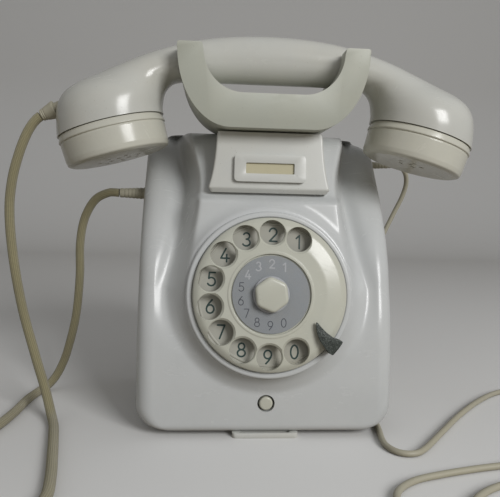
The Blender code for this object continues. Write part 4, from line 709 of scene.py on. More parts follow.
# Heights and the front of the side walls, the block's half width, and the flute's depth, in mm.
BAND = [(3, -41.5), (30, -40.2), (60, -36.8), (85, -30.2), (105, -20.5), (125, -6.5),
        (140, 7.0), (152, 17.5), (166, 28.0)]
BLOCK_EDGE = [(79, 44.7), (99, 40.0), (124, 36.5), (139, 36.5), (153, 40.0), (166, 44.0)]
FLUTE = [(45, 0.0), (70, 2.0), (90, 4.0), (120, 4.5), (140, 3.0), (155, 1.5), (166, 0.0)]
COLLAR_FILLET = (44.0 * MM, 6.5 * MM, 3.6 * MM)   # where it starts, how wide and how high it is
# The posts for the case screws, and the well of the push button.
BOSS_OUT, BOSS_HEIGHTS = 58 * MM, (20 * MM, 132 * MM)
BOSS_RADIUS, BOSS_BORE = 4.2 * MM, 1.8 * MM
WELL_RADIUS, WELL_BORE = 7.6 * MM, 6.0 * MM


def draw_in(distance, radius):
    """How far a rounded edge has drawn in, at a distance from its end."""
    if distance >= radius:
        return 0.0
    return radius - math.sqrt(max(0.0, radius ** 2 - (radius - distance) ** 2))


class Shell:
    """The housing's surfaces as functions of place."""

    def __init__(self, sizes):
        self.sizes = sizes
        self.low, self.high = HOUSING_LOW.z, HOUSING_HIGH.z
        self.back = HOUSING_HIGH.y

    def face(self, z):
        return -self.sizes.face_depth + (z - DIAL.translation.z) * math.tan(self.sizes.lean)

    def seat(self, z):
        return -self.sizes.neck_seat + (z - self.sizes.neck_foot) * self.sizes.neck_slant

    def beyond_block(self, x, z):
        """Distance outside the block, which is a round drum below the dial's middle."""
        dial_z = DIAL.translation.z
        if z < dial_z:
            return math.hypot(x, dial_z - z) - self.sizes.drum
        return abs(x) - through(BLOCK_EDGE, z / MM) * MM

    def front(self, x, z):
        sizes = self.sizes
        shelf = smooth_step((z - sizes.shelf) / (sizes.neck_foot - sizes.shelf))
        block_front = self.face(z) * (1.0 - shelf) + self.seat(z) * shelf
        beyond = self.beyond_block(x, z)
        side = smooth_step(beyond / sizes.block_side)
        offset = (beyond - sizes.block_side) / sizes.flute_width
        y = block_front * (1.0 - side) + through(BAND, z / MM) * MM * side
        y += through(FLUTE, z / MM) * MM * math.exp(-offset ** 2)
        start, width, height = COLLAR_FILLET
        distance = math.hypot(x, (z - DIAL.translation.z) / math.cos(sizes.lean))
        left = min(1.0, max(0.0, 1.0 - (distance - start) / width))
        y -= height * left ** 2 * (1.0 - shelf)
        y += draw_in(z - self.low, sizes.foot_edge) + 1.6 * draw_in(self.high - z, sizes.edge)
        return y

    def half_width(self, y, z):
        sizes = self.sizes
        share = (y + sizes.draft) / (self.back + sizes.draft)
        width = sizes.half_front + (sizes.half_back - sizes.half_front) * share
        return width - draw_in(z - self.low, sizes.corner) - draw_in(self.high - z, sizes.corner)

    def inner_front(self, x, z):
        """At least a wall's thickness behind the front, whichever way the front slopes."""
        wall = self.sizes.wall
        low, high = self.low + 0.1 * MM, self.high - 0.1 * MM
        return wall + max(self.front(x + dx, min(high, max(low, z + dz)))
                          for dx in (-wall, 0.0, wall) for dz in (-wall, 0.0, wall))

    def section(self, z, inset, back, front, columns, sides, turns):
        """A level section: the sides, the rounded front corners and the front."""
        radius = self.sizes.edge
        half = self.half_width(front(self.sizes.half_front - radius, z), z) - inset
        flat = half - radius
        side_y = front(flat, z) + radius
        right = []
        for i in range(sides):
            y = back + (side_y - back) * i / sides
            right.append((self.half_width(min(y, self.back), z) - inset, y))
        for i in range(turns):
            swing = math.pi / 2 * i / turns
            right.append((flat + radius * math.cos(swing), side_y - radius * math.sin(swing)))
        for i in range(columns):
            x = flat * (1.0 - i / columns)
            right.append((x, front(x, z)))
        left = [(-x, y) for x, y in reversed(right)]
        return [Vector((x, y, z)) for x, y in right + [(0.0, front(0.0, z))] + left]

    def levels(self, inset, turns, spacing):
        """Heights that lie close together where the ends are rounded."""
        low, high = self.low + inset, self.high - inset
        radius = self.sizes.corner - inset
        drawn = [radius * (1.0 - math.cos(math.pi / 2 * i / turns)) for i in range(turns + 1)]
        count = round((high - low - 2 * radius) / spacing)
        middle = [low + radius + (high - low - 2 * radius) * i / count for i in range(1, count)]
        return [low + d for d in drawn] + middle + [high - d for d in reversed(drawn)]


def lofted(loops):
    """A closed skin through rings that have the same number of points."""
    around, along = len(loops[0]), len(loops) - 1
    return skin(around, along, lambda u, v: loops[round(v * along)][round(u * around) % around])


def make_housing(sizes):
    shell = Shell(sizes)
    outer = [shell.section(z, 0.0, shell.back, shell.front, 76, 16, 8)
             for z in shell.levels(0.0, 14, 0.95 * MM)]
    body = piece("housing_shell", lofted(outer), "housing_white", "housing")
    beyond = shell.back + 5 * MM
    inner = [shell.section(z, sizes.wall, beyond, shell.inner_front, 14, 4, 4)
             for z in shell.levels(sizes.wall, 4, 7 * MM)]
    carve(body, tool(lofted(inner)))

    lip, top = 42.8, -5.6
    collar = softened([(0.0, top - 15, 0), (lip + 4.6, top - 15, 0), (lip + 1.3, top - 5.6, 0),
                       (lip + 0.9, top - 3.6, 3.0), (lip + 0.2, top, 1.3), (lip - 2.4, top, 0.9),
                       (lip - 3.0, top - 2.0, 0), (0.0, top - 2.0, 0)], 6)
    carve(body, tool(spun(collar, 144), DIAL), operation="UNION")
    seat = -9.3
    opening = [(0.0, 8.0), (39.6, 8.0), (39.6, seat), (37.0, seat), (37.0, -30.0), (0.0, -30.0)]
    recess = [(0.0, 4.0), (39.9, 4.0), (39.9, seat), (0.0, seat)]
    carve(body, tool(spun(opening, 144), DIAL), tool(spun(recess, 144), DIAL))

    for side in (-1, 1):
        for z in BOSS_HEIGHTS:
            x = side * BOSS_OUT
            start = Vector((x, shell.inner_front(x, z) - 1.2 * MM, z))
            carve(body, tool(rod(start, (x, shell.back - 3.3 * MM, z), BOSS_RADIUS)),
                  operation="UNION")
            carve(body, tool(rod((x, shell.back - 17 * MM, z), (x, shell.back, z), BOSS_BORE)))

    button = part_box("earth_button")
    z = (button[0].z + button[1].z) / 2
    face = shell.front(0.0, z)
    back = face + sizes.wall + 8 * MM
    carve(body, tool(rod((0, face + sizes.wall / 2, z), (0, back, z), WELL_RADIUS, 48)),
          operation="UNION")
    mouth = softened([(0.0, -3.0, 0), (5.2, -3.0, 0), (4.6, 0.3, 0.5), (4.6, 20.0, 0),
                      (0.0, 20.0, 0)], 6)
    turn = Matrix.Translation((0, face, z)) @ Matrix.Rotation(math.radians(-90), 4, "X")
    carve(body, tool(spun(mouth, 48), turn),
          tool(rod((0, face + sizes.wall, z), (0, back + 5 * MM, z), WELL_BORE, 48)))

    slot = middle_of("fork_stem")
    carve(body, tool(block((-9 * MM, -34 * MM, sizes.neck_foot + 4 * MM),
                           (9 * MM, slot.y + 9 * MM, shell.high - 6 * MM))))
    for entry, radius in (("handset_cord_entry", 4.0), ("line_cord_entry", 3.0)):
        middle, reach = middle_of(entry), Vector((16 * MM, 0, 0))
        carve(body, tool(rod(middle - reach, middle + reach, radius * MM, 32)), crease=40.0)


# Neck cover and label

def make_neck(sizes):
    low, high = NECK_LOW.z, NECK_HIGH.z
    front_foot, front_top = -28.0 * MM, -25.0 * MM
    half_foot, half_top = 34.0 * MM, 28.3 * MM
    foot_z = sizes.neck_foot
    lean = math.atan2(front_top - front_foot, high - foot_z)
    shell = Shell(sizes)

    def front(z):
        return front_foot + (z - foot_z) * math.tan(lean)

    def half(z):
        rise = (z - foot_z) / (high - foot_z)
        waist = 1.2 * MM * math.sin(math.pi * min(1.0, max(0.0, rise) * 1.1) ** 0.8)
        return half_foot + (half_top - half_foot) * rise - waist

    def outline(z, inset, behind, corner):
        wide, near, far = half(z) - inset, front(z) + inset, shell.seat(z) - 0.3 * MM + behind
        corners = [(wide, far, 0), (wide, near, corner), (-wide, near, corner), (-wide, far, 0)]
        return [Vector((x, y, z)) for x, y in softened(corners, 8)]

    rows = 60
    rings = []
    for i in range(rows + 1):
        z = low + (high - low) * i / rows
        rings.append(outline(z, max(0.0, low + 2.4 * MM - z), 0.0, 1.5 * MM))
    cover = piece("neck_shell", lofted(rings), "neck_cream", "neck_cover")
    inner = [outline(low + 2.2 * MM + (high - low - 4.4 * MM) * i / 8, 2.2 * MM, 6 * MM, 0.0)
             for i in range(9)]
    stem_low, stem_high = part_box("fork_stem")
    slack = Vector((0.4, 0.4, 0.0)) * MM
    carve(cover, tool(lofted(inner)),
          tool(block((stem_low.x - slack.x, stem_low.y - slack.y, high - 5 * MM),
                     (stem_high.x + slack.x, stem_high.y + slack.y, high + 5 * MM))))
    settle(round_edges(cover, 0.7 * MM, 4, 40.0), 40.0)

    middle = middle_of("label_card")
    frame = Matrix.Translation((0, front(middle.z), middle.z)) \
        @ Matrix.Rotation(-lean, 4, "X") @ Matrix.Rotation(math.radians(90.0), 4, "X")
    window = rectangle(13.0 * MM, 2.85 * MM, 0.6 * MM)
    outer = rectangle(19.2 * MM, 7.2 * MM, 2.4 * MM)
    holder = piece("label_holder", slab([outer, window], 0.3 * MM, 2.3 * MM), "neck_cream",
                   "label_frame", matrix=frame)
    pocket = block((-14.3 * MM, -4.1 * MM, -MM), (14.3 * MM, 4.1 * MM, 1.4 * MM))
    carve(holder, tool(pocket, frame))
    settle(round_edges(holder, 0.55 * MM, 4, 50.0), 40.0)
    slip = slab([rectangle(14.0 * MM, 3.8 * MM, 0.5 * MM)], 0.6 * MM, 1.1 * MM)
    piece("label_slip", slip, "paper", "label_card", matrix=frame)


# Dial

def arc(x, y, across, up, start, end, count=20):
    return [(x + across * math.cos(math.radians(start + (end - start) * i / count)),
             y + up * math.sin(math.radians(start + (end - start) * i / count)))
            for i in range(count + 1)]


def six():
    return [[(0.42, 1.0), (0.20, 0.74), (0.07, 0.52)] + arc(0.30, 0.31, 0.28, 0.31, 150, 510, 36)]


DIGITS = {
    "1": [[(0.10, 0.78), (0.34, 1.0), (0.34, 0.0)]],
    "2": [arc(0.30, 0.71, 0.28, 0.29, 170, -38) + [(0.04, 0.0), (0.60, 0.0)]],
    "3": [arc(0.28, 0.76, 0.24, 0.24, 150, -90) + arc(0.28, 0.26, 0.29, 0.26, 90, -150)],
    "4": [[(0.38, 1.0), (0.02, 0.27), (0.64, 0.27)], [(0.46, 0.55), (0.46, 0.0)]],
    "5": [[(0.55, 1.0), (0.12, 1.0), (0.08, 0.55)] + arc(0.28, 0.31, 0.30, 0.31, 125, -150)],
    "6": six(),
    "7": [[(0.03, 1.0), (0.58, 1.0), (0.22, 0.0)]],
    "8": [arc(0.30, 0.76, 0.23, 0.24, -90, 270, 32), arc(0.30, 0.26, 0.29, 0.26, 90, 450, 36)],
    "9": [[(0.6 - x, 1.0 - y) for x, y in stroke] for stroke in six()],
    "0": [arc(0.30, 0.50, 0.28, 0.50, 90, 450, 44)],
}


def digit(name, height, weight, relief):
    """One digit, centred on the origin, drawn with a round pen and flattened."""
    shape = bmesh.new()
    for stroke in DIGITS[name]:
        points = [Vector(((x - 0.3) * height, (y - 0.5) * height, 0.0)) for x, y in stroke]
        for a, b in zip(points, points[1:]):
            append(shape, rod(a, b, weight / 2, 10))
        for point in points:
            bmesh.ops.create_uvsphere(shape, u_segments=10, v_segments=6, radius=weight / 2,
                                      matrix=Matrix.Translation(point))
    bmesh.ops.scale(shape, vec=(1, 1, 2 * relief / weight), verts=shape.verts)
    return shape


def append(shape, other):
    mesh = bpy.data.meshes.new("part")
    other.to_mesh(mesh)
    other.free()
    shape.from_mesh(mesh)
    bpy.data.meshes.remove(mesh)


def digit_place(index, radius, sizes):
    """The place of a digit or finger hole on a circle round the dial's axis."""
    swing = sizes.first + index * sizes.step
    return Vector((math.cos(swing), math.sin(swing), 0.0)) * radius


def digits(radius, height, weight, relief, level, sizes, names, shift=Vector((0, 0, 0))):
    shape = bmesh.new()
    for i, name in enumerate("1234567890"):
        if name not in names:
            continue
        made = digit(name, height, weight, relief)
        bmesh.ops.translate(made, verts=made.verts, vec=digit_place(i, radius, sizes) + shift
                            + Vector((0, 0, level)))
        append(shape, made)
    return shape


def make_wheel(sizes):
    rim = sizes.wheel / MM
    card_r = sizes.card / MM
    profile = softened([
        (2.8, -0.8, 0), (card_r, -0.8, 0.2), (card_r, 0.62, 0.35), (card_r + 1.1, 0.62, 0.5),
        (card_r + 1.7, 0.25, 0.6), (29.0, 0.25, 14.0), (36.8, -0.9, 6.0), (rim - 0.4, -2.9, 2.0),
        (rim, -5.2, 0.3), (rim - 1.5, -5.2, 0.3), (37.0, -3.7, 1.5), (34.0, -2.5, 1.0),
        (2.8, -2.5, 0)], 6)
    wheel = piece("finger_wheel_cover", spun(profile, 180, True), "wheel_cream", "finger_wheel",
                  matrix=DIAL, body="dial")
    hole = sizes.hole / MM
    flare = softened([(0.0, 3.0, 0), (hole + 3.2, 3.0, 0), (hole + 0.9, -0.1, 1.0),
                      (hole, -0.9, 1.2), (hole, -8.0, 0), (0.0, -8.0, 0)], 6)
    for i in range(10):
        spot = digit_place(i, sizes.pitch, sizes)
        carve(wheel, tool(spun(flare, 56), DIAL @ Matrix.Translation(spot)))

    low = -0.5
    disc = softened([(2.8, low + 0.6, 0), (19.8, low + 0.6, 0.2), (19.8, low, 0), (2.8, low, 0)])
    piece("dial_card", spun(disc, 96, True), "card_grey", "card_disc", matrix=DIAL, body="dial")
    top = (low + 0.6) * MM
    for name, weight, names, ink in (("card_digits_faded", 0.70, "1234", "faded_ink"),
                                     ("card_digits_grey", 0.46, "567890", "grey_ink")):
        shape = digits(15.6 * MM, sizes.small_digit, weight * MM, 0.05 * MM, top, sizes, names)
        piece(name, shape, ink, matrix=DIAL, body="dial")
    low, high = 0.4, 1.2
    pane = softened([(2.8, high, 0), (19.6, high, 0.5), (20.3, high - 0.5, 0.4), (20.3, low, 0),
                     (2.8, low, 0)], 4)
    piece("card_pane", spun(pane, 96, True), "clear_window", "card_window", matrix=DIAL,
          body="dial")

    low, rise = 1.5, 3.6
    across = sizes.nut / MM / 2 / math.cos(math.radians(30))
    corners = [(across * math.cos(math.radians(97 + 60 * i)),
                across * math.sin(math.radians(97 + 60 * i)), 3.8) for i in range(6)]
    outline = [(x * MM, y * MM) for x, y in softened(corners, 6, True)]
    nut = piece("dial_nut", slab([outline], low * MM, (low + rise) * MM), "wheel_cream",
                "centre_nut", matrix=DIAL, body="dial", crease=60.0)
    settle(round_edges(nut, 1.7 * MM, 6, 50.0), 60.0)
    seat = softened([(2.8, 1.2, 0), (2.8, 1.55, 0), (8.9, 1.55, 0.3), (9.3, 1.2, 0.2)], 4)
    piece("nut_seat", spun(seat, 72, True), "faded_ink", matrix=DIAL, body="dial")


def make_number_plate(sizes):
    top = -sizes.plate / MM
    profile = softened([
        (3.2, top, 0), (36.2, top, 0.3), (36.5, top + 0.45, 0.2), (37.1, top + 0.45, 0.2),
        (37.4, top + 0.1, 0.2), (37.8, top + 0.1, 0.2), (38.1, top + 0.9, 0.3),
        (38.8, top + 0.9, 0.3), (39.2, top + 0.4, 0.2), (39.2, top - 1.5, 0),
        (3.2, top - 1.5, 0)], 4)
    piece("digit_plate", spun(profile, 144, True), "plate_cream", "number_plate", matrix=DIAL)
    turn = Matrix.Rotation(math.radians(-1.0), 4, "Z")
    shape = digits(sizes.pitch - 0.2 * MM, sizes.digit, 0.95 * MM, 0.08 * MM, top * MM, sizes,
                   "1234567890", Vector((0.5 * MM, -0.5 * MM, 0)))
    piece("plate_digits", shape, "digit_ink", matrix=DIAL @ turn)


def make_finger_stop():
    centre = -38.3

    def at(radius, degrees, corner):
        swing = math.radians(centre + degrees)
        return (radius * math.cos(swing) * MM, radius * math.sin(swing) * MM, corner * MM)

    outline = softened([
        at(43.2, -5.8, 0.9), at(43.25, 0.0, 12.0), at(43.2, 5.8, 0.9), at(38.0, 4.4, 9.0),
        at(33.4, 4.6, 9.0), at(29.5, 6.2, 9.0), at(26.2, 8.6, 0.5), at(27.6, 3.6, 9.0),
        at(30.5, -1.6, 9.0), at(34.0, -4.6, 9.0), at(38.5, -5.9, 9.0)], 6, True)
    stop = piece("stop_horn", slab([outline], 1.6 * MM, 3.2 * MM), "stop_grey", "finger_stop",
                 matrix=DIAL)
    leg = softened([at(43.2, -5.8, 0.5), at(43.2, 5.8, 0.5), at(40.9, 5.8, 0.3),
                    at(40.9, -5.8, 0.3)], 4, True)
    carve(stop, tool(slab([leg], -5.3 * MM, 2.6 * MM), DIAL), operation="UNION")
    settle(round_edges(stop, 0.5 * MM, 3, 40.0), 40.0)


# Fork

def make_fork(sizes):
    half, inner_half = FORK_HIGH.x - 0.2 * MM, 36.6 * MM
    spring, foot, tip = 203.0 * MM, FORK_LOW.z, FORK_HIGH.z
    seat = 181.5 * MM

    def quarter(centre, reach, depth, count):
        return [(centre + reach * math.sin(math.pi / 2 * i / count),
                 spring - depth * math.cos(math.pi / 2 * i / count)) for i in range(count + 1)]

    right = quarter(22 * MM, half - 22 * MM, spring - foot, 28)
    right += softened([(half + 0.2 * MM, spring, 0), (half + 0.2 * MM, tip, 2.4 * MM),
                       (inner_half + 0.6 * MM, tip, 2.4 * MM), (inner_half + 0.2 * MM, spring, 0)],
                      5)
    right += quarter(16 * MM, inner_half - 16 * MM, spring - seat, 24)[::-1]
    outline = right + [(-x, z) for x, z in reversed(right)]
    upright = Matrix.Rotation(math.radians(90.0), 4, "X")
    fork = piece("fork", slab([outline], -FORK_HIGH.y, -FORK_LOW.y), "fork_beige", "cradle_fork",
                 matrix=upright, body="fork")
    grip_y = -12.0 * MM
    trough, bottom, bowl = 14.3 * MM, GRIP_LOW.z + 33.1 * MM, 8.0 * MM
    section = [(grip_y - trough * math.cos(math.pi * i / 24),
                bottom + bowl * (1.0 - math.sin(math.pi * i / 24))) for i in range(25)]
    section += [(grip_y + trough, tip + 9 * MM), (grip_y - trough, tip + 9 * MM)]
    sideways = Matrix(((0, 0, 1, 0), (1, 0, 0, 0), (0, 1, 0, 0), (0, 0, 0, 1)))
    wide = half + 10 * MM
    carve(fork,
          tool(slab([section], -wide, wide), sideways),
          tool(block((-27.6 * MM, -9 * MM, foot - 5 * MM),
                     (27.6 * MM, FORK_HIGH.y + 5 * MM, tip + 5 * MM))),
          tool(block((-wide, grip_y + trough - MM, tip - 10 * MM),
                     (wide, FORK_HIGH.y + 5 * MM, tip + 9 * MM))))
    settle(round_edges(fork, sizes.rounding, 4, 40.0), 45.0)


# Handset

# Inner edge, outer edge and half depth of the grip's sections from a cup inwards, in mm.
GRIP = [((58.5, 172.8), (115.0, 156.6), 29.3), ((58.9, 176.2), (115.4, 165.6), 29.2),
        ((58.6, 179.6), (114.9, 173.6), 28.2), ((58.0, 182.8), (111.6, 180.6), 26.0),
        ((56.7, 185.6), (105.0, 186.0), 22.6), ((54.6, 188.0), (95.4, 191.0), 19.0),
        ((51.6, 189.7), (82.4, 197.4), 16.0), ((46.4, 190.3), (66.4, 204.6), 13.8),
        ((36.0, 190.3), (47.4, 210.7), 12.6), ((23.0, 190.3), (27.6, 214.5), 12.1),
        ((0.0, 190.3), (0.0, 216.1), 12.0)]


def grip_rings(sizes, between=7, around=72):
    """Rings along the whole grip, with smooth steps between the sections."""
    half = [(*inner, *outer, depth) for inner, outer, depth in GRIP]
    whole = [(-a, b, -c, d, e) for a, b, c, d, e in half] + half[-2::-1]
    rings = []
    for i in range(len(whole) - 1):
        p0, p1 = whole[max(0, i - 1)], whole[i]
        p2, p3 = whole[i + 1], whole[min(len(whole) - 1, i + 2)]
        for step in range(between):
            rings.append([between_points(*four, step / between) for four in zip(p0, p1, p2, p3)])
    rings.append(list(whole[-1]))
    loops = []
    for inner_x, inner_z, outer_x, outer_z, depth in rings:
        inner, outer = Vector((inner_x, 0, inner_z)) * MM, Vector((outer_x, 0, outer_z)) * MM
        middle, reach = (inner + outer) / 2, (outer - inner) / 2
        loops.append([middle + reach * math.cos(math.tau * i / around)
                      + Vector((0, -sizes.depth_place + depth * MM
                                * math.sin(math.tau * i / around), 0)) for i in range(around)])
    return loops


def cup_place(side, sizes):
    """A cup's frame: its Z points out of the cap."""
    down = Vector((-side * math.sin(sizes.tilt), 0.0, -math.cos(sizes.tilt)))
    return pointing((side * sizes.ear_x, -sizes.depth_place, sizes.ear_z), down)


def make_cap(name, node, side, sizes):
    top, wide = sizes.cap / MM, sizes.cup / MM
    dish = 1.6 if side > 0 else -0.8
    profile = softened([
        (0.0, top - dish, 0), (15.0, top - 0.7 * dish, 30.0), (wide - 4.0, top, 2.4),
        (wide - 1.5, top - 1.0, 1.6), (wide - 0.9, top - 3.6, 4.0), (wide - 0.55, 4.9, 1.2),
        (wide - 0.9, 4.2, 0.3), (wide - 0.1, 3.9, 0.4), (wide, 3.4, 0.4), (wide - 0.9, 0.3, 0.3),
        (wide - 2.4, 0.3, 0), (wide - 2.4, 9.0, 0), (wide - 5.0, 13.6, 0),
        (15.0, top - 0.7 * dish - 2.4, 0), (0.0, top - dish - 2.4, 0)], 7)
    place = cup_place(side, sizes)
    cap = piece(name, spun(profile, 120), "cap_cream", node, matrix=place, body="handset")
    rings = ((0.0, 1), (6.5, 5)) if side > 0 else ((5.0, 4), (11.0, 7))
    drill = bmesh.new()
    for radius, count in rings:
        for i in range(count):
            swing = math.tau * i / count
            x, y = radius * math.cos(swing) * MM, radius * math.sin(swing) * MM
            append(drill, rod((x, y, (top - 8) * MM), (x, y, (top + 4) * MM),
                              sizes.sound_hole, 20))
    carve(cap, tool(drill, place))


def make_handset(sizes):
    grip = piece("grip", lofted(grip_rings(sizes)), "handset_cream", "handset_grip",
                 body="handset", crease=50.0)
    for side, name, node in ((-1, "mouthpiece", "mouth_cap"), (1, "earpiece", "ear_cap")):
        recess = [(0.0, 5.0), (23.9, 5.0), (23.9, -6.0), (0.0, -6.0)]
        carve(grip, tool(spun(recess, 72), cup_place(side, sizes)), crease=50.0)
        make_cap(name, node, side, sizes)
    entry, away = cord_entry()
    carve(grip, tool(rod(entry - away * 6 * MM, entry + away * 9 * MM, 3.9 * MM, 40)),
          tool(rod(entry + away * 1.1 * MM, entry + away * 9 * MM, 5.2 * MM, 40)), crease=50.0)
    profile = softened([
        (0.0, 9.8, 0), (2.75, 9.8, 0), (3.1, 9.5, 0.2), (3.2, 9.0, 0.2), (2.95, 8.7, 0.1),
        (3.3, 8.4, 0.2), (3.4, 7.9, 0.2), (3.15, 7.6, 0.1), (3.6, 7.2, 0.3), (4.2, 4.6, 6.0),
        (4.9, 2.4, 1.0), (4.9, 1.4, 0.2), (3.6, 1.4, 0), (3.6, -5.4, 0), (0.0, -5.4, 0)], 4)
    piece("cord_sleeve", spun(profile, 48), "cord_vinyl", "handset_sleeve",
          matrix=pointing(entry, away), body="handset")


def cord_entry():
    """Where the handset cord's sleeve starts, and the way that it points."""
    drop = math.radians(25.0)
    away = Vector((-math.cos(drop), 0.0, -math.sin(drop)))
    return Vector((-115.2, -12.0, 173.4)) * MM, away


# Cords

def lying(height, points):
    """Points that all lie at one height."""
    return [(x, y, height) for x, y in points]


# Points that the cords pass, in millimetres.
HANDSET_FRONT = [(-128.0, -12, 165.9), (-132.0, -12, 159.4), (-136.4, -11.7, 148.4),
                 (-140.4, -11, 134), (-142.2, -10.5, 117), (-140.8, -10, 93),
                 (-136.4, -9.4, 64), (-129.6, -9.6, 37), (-123.2, -12, 17), (-118, -19, 5.2),
                 *lying(2.8, [(-113.6, -30), (-109, -47), (-104, -67), (-99, -88),
                              (-96.6, -104), (-99.5, -120), (-111, -131.8), (-127, -136.1),
                              (-141, -135.4), (-159, -133.2)])]
HANDSET_BACK = [(-168, -65.2, 6.6), (-156.4, -59, 3.2),
                *lying(2.8, [(-148, -49), (-143, -32), (-140.4, -12), (-139.6, 8),
                             (-137.2, 23)]),
                (-134.4, 30.8, 3.6), (-130.6, 35.2, 7.6), (-126.4, 36.2, 15.5),
                (-122, 34.6, 27), (-116, 31, 50), (-113, 28.4, 76), (-112.4, 26.6, 96),
                (-109.4, 25, 112), (-102.6, 23.2, 124), (-94, 22, 128.7)]
LINE_ROUTE = [(93, 46.2, 152), (100.4, 49.6, 149.4), (104.8, 56, 142), (104.2, 61, 132),
              (99, 64.6, 118), (91.6, 66, 100), (84.6, 66.6, 78), (79.4, 67, 54),
              (76.4, 67, 30), (75.6, 66, 14), (74.9, 59.5, 4.2), (74, 49, 1.9),
              *lying(1.8, [(72.6, 36), (70, 16), (66.6, -10), (64, -34), (61.8, -47),
                           (61.8, -56), (65.6, -63), (72.5, -64.6), (80.4, -59.4), (99, -38),
                           (119, -15), (142, 8), (163, 24), (182, 29.6), (198, 22), (202.8, 5),
                           (196, -18), (176, -42), (148, -63), (120, -75.4), (98, -80.6),
                           (79, -85.6), (63, -91.4), (52, -101), (48.6, -114), (54, -124.6),
                           (66, -126), (76, -117.4), (86, -105.6), (101, -96.4), (121, -91),
                           (139, -84.6)])]
LINE_TAIL = [(190.2, -91.5, 7.0), (195.3, -98.8, 4.4), (200.6, -106.5, 2.5),
             (202.7, -112.2, 1.9), (202.4, -118.4, 2.3), (199.9, -123.8, 3.8),
             (195, -127.6, 5.8), (189, -128.9, 6.9), (183.4, -128.9, 7.0)]
# Each coil: its centre, the angle where it starts, and (turned, radius, height) as it winds.
HANDSET_COIL = ((-172, -100), -100, [(0, 30.6, 2.8), (250, 30.6, 2.8), (360, 25.2, 2.8),
                                     (540, 25.2, 2.8), (650, 25.2, 8.2), (860, 25.2, 8.2),
                                     (970, 30.6, 8.2), (1232, 30.6, 8.2)])
LINE_COIL = ((168, -96), 115, [(0, 20.7, 1.8), (250, 20.7, 1.8), (360, 17.4, 1.8),
                               (610, 17.4, 1.8), (720, 14.1, 1.8), (900, 14.1, 1.8),
                               (1010, 14.1, 5.1), (1220, 14.1, 5.1), (1330, 17.4, 5.1),
                               (1580, 17.4, 5.1), (1690, 20.7, 5.1), (1870, 20.7, 5.1),
                               (1980, 20.7, 8.4), (2240, 20.7, 8.4)])


def coil_strand(stations, turned):
    """Radius and height of a coil's strand after it has turned by some degrees."""
    at = max(k for k, station in enumerate(stations[:-1]) if station[0] <= turned)
    (a, r0, z0), (b, r1, z1) = stations[at], stations[at + 1]
    share = smooth_step((turned - a) / (b - a))
    return r0 + (r1 - r0) * share, z0 + (z1 - z0) * share


def wound(coil, every=15.0):
    """Points round a coil, clockwise from above, that step from one turn to the next."""
    (x, y), start, stations = coil
    points = []
    count = round(stations[-1][0] / every)
    for i in range(count + 1):
        turned = stations[-1][0] * i / count
        radius, height = coil_strand(stations, turned)
        swing = math.radians(start - turned)
        points.append((x + radius * math.cos(swing), y + radius * math.sin(swing), height))
    return points


def sleeve_end(node, side):
    """The middle of the outer end of a cord's sleeve in the housing's side."""
    low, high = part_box(node)
    x = (high.x if side > 0 else low.x) + side * 0.6 * MM
    return Vector((x, (low.y + high.y) / 2, (low.z + high.z) / 2))


def make_cords(sizes):
    entry, away = cord_entry()
    start, end = entry + away * 10.4 * MM, sleeve_end("handset_cord_entry", -1)
    between = [Vector(p) * MM for p in HANDSET_FRONT + wound(HANDSET_COIL) + HANDSET_BACK]
    path = curve_through([start] + between + [end], 2.6 * MM)
    cord = piece("handset_cord", tube(path, sizes.handset / 2, sizes.sides), "cord_textile",
                 "handset_cord_front", "handset_cord_coil", "handset_cord_back", body=None,
                 crease=80.0)
    tuple(start)
    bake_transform(cord)
    tie = make_tie("handset_cord_tie", HANDSET_COIL, 150.0, sizes.handset)
    tuple(start)
    path_length(path)

    route = [sleeve_end("line_cord_entry", 1)]
    route += [Vector(p) * MM for p in LINE_ROUTE + wound(LINE_COIL) + LINE_TAIL]
    path = curve_through(route, 2.4 * MM)
    line = piece("telephone_line", tube(path, sizes.line / 2, sizes.sides), "cord_vinyl",
                 "line_cord", "line_cord_coil", crease=80.0)
    tie = make_tie("line_cord_tie", LINE_COIL, 35.0, sizes.line)
    path_length(path)
    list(make_plug())


def make_tie(name, coil, angle, cord):
    """A strap drawn tight round the strands of a coil, at an angle round it."""
    (x, y), start, stations = coil
    turned, strands = (start - angle) % 360, []
    while turned <= stations[-1][0]:
        strands.append(Vector(coil_strand(stations, turned)) * MM)
        turned += 360

    def outline(reach):
        ways = [Vector((math.cos(math.tau * i / 48), math.sin(math.tau * i / 48)))
                for i in range(48)]
        return [max(strands, key=way.dot) + way * reach for way in ways]

    strap = slab([outline(cord / 2 + 0.15 * MM), outline(cord / 2 - 0.35 * MM)],
                 -2.2 * MM, 2.2 * MM)
    outward = Vector((math.cos(math.radians(angle)), math.sin(math.radians(angle)), 0.0))
    up = Vector((0.0, 0.0, 1.0))
    turn = Matrix((outward, up, outward.cross(up))).transposed().to_4x4()
    centre = Matrix.Translation((x * MM, y * MM, 0.0))
    tie = piece(name, strap, "moulded_black", matrix=centre @ turn)
    settle(round_edges(tie, 0.15 * MM, 2, 50.0))
    return tie


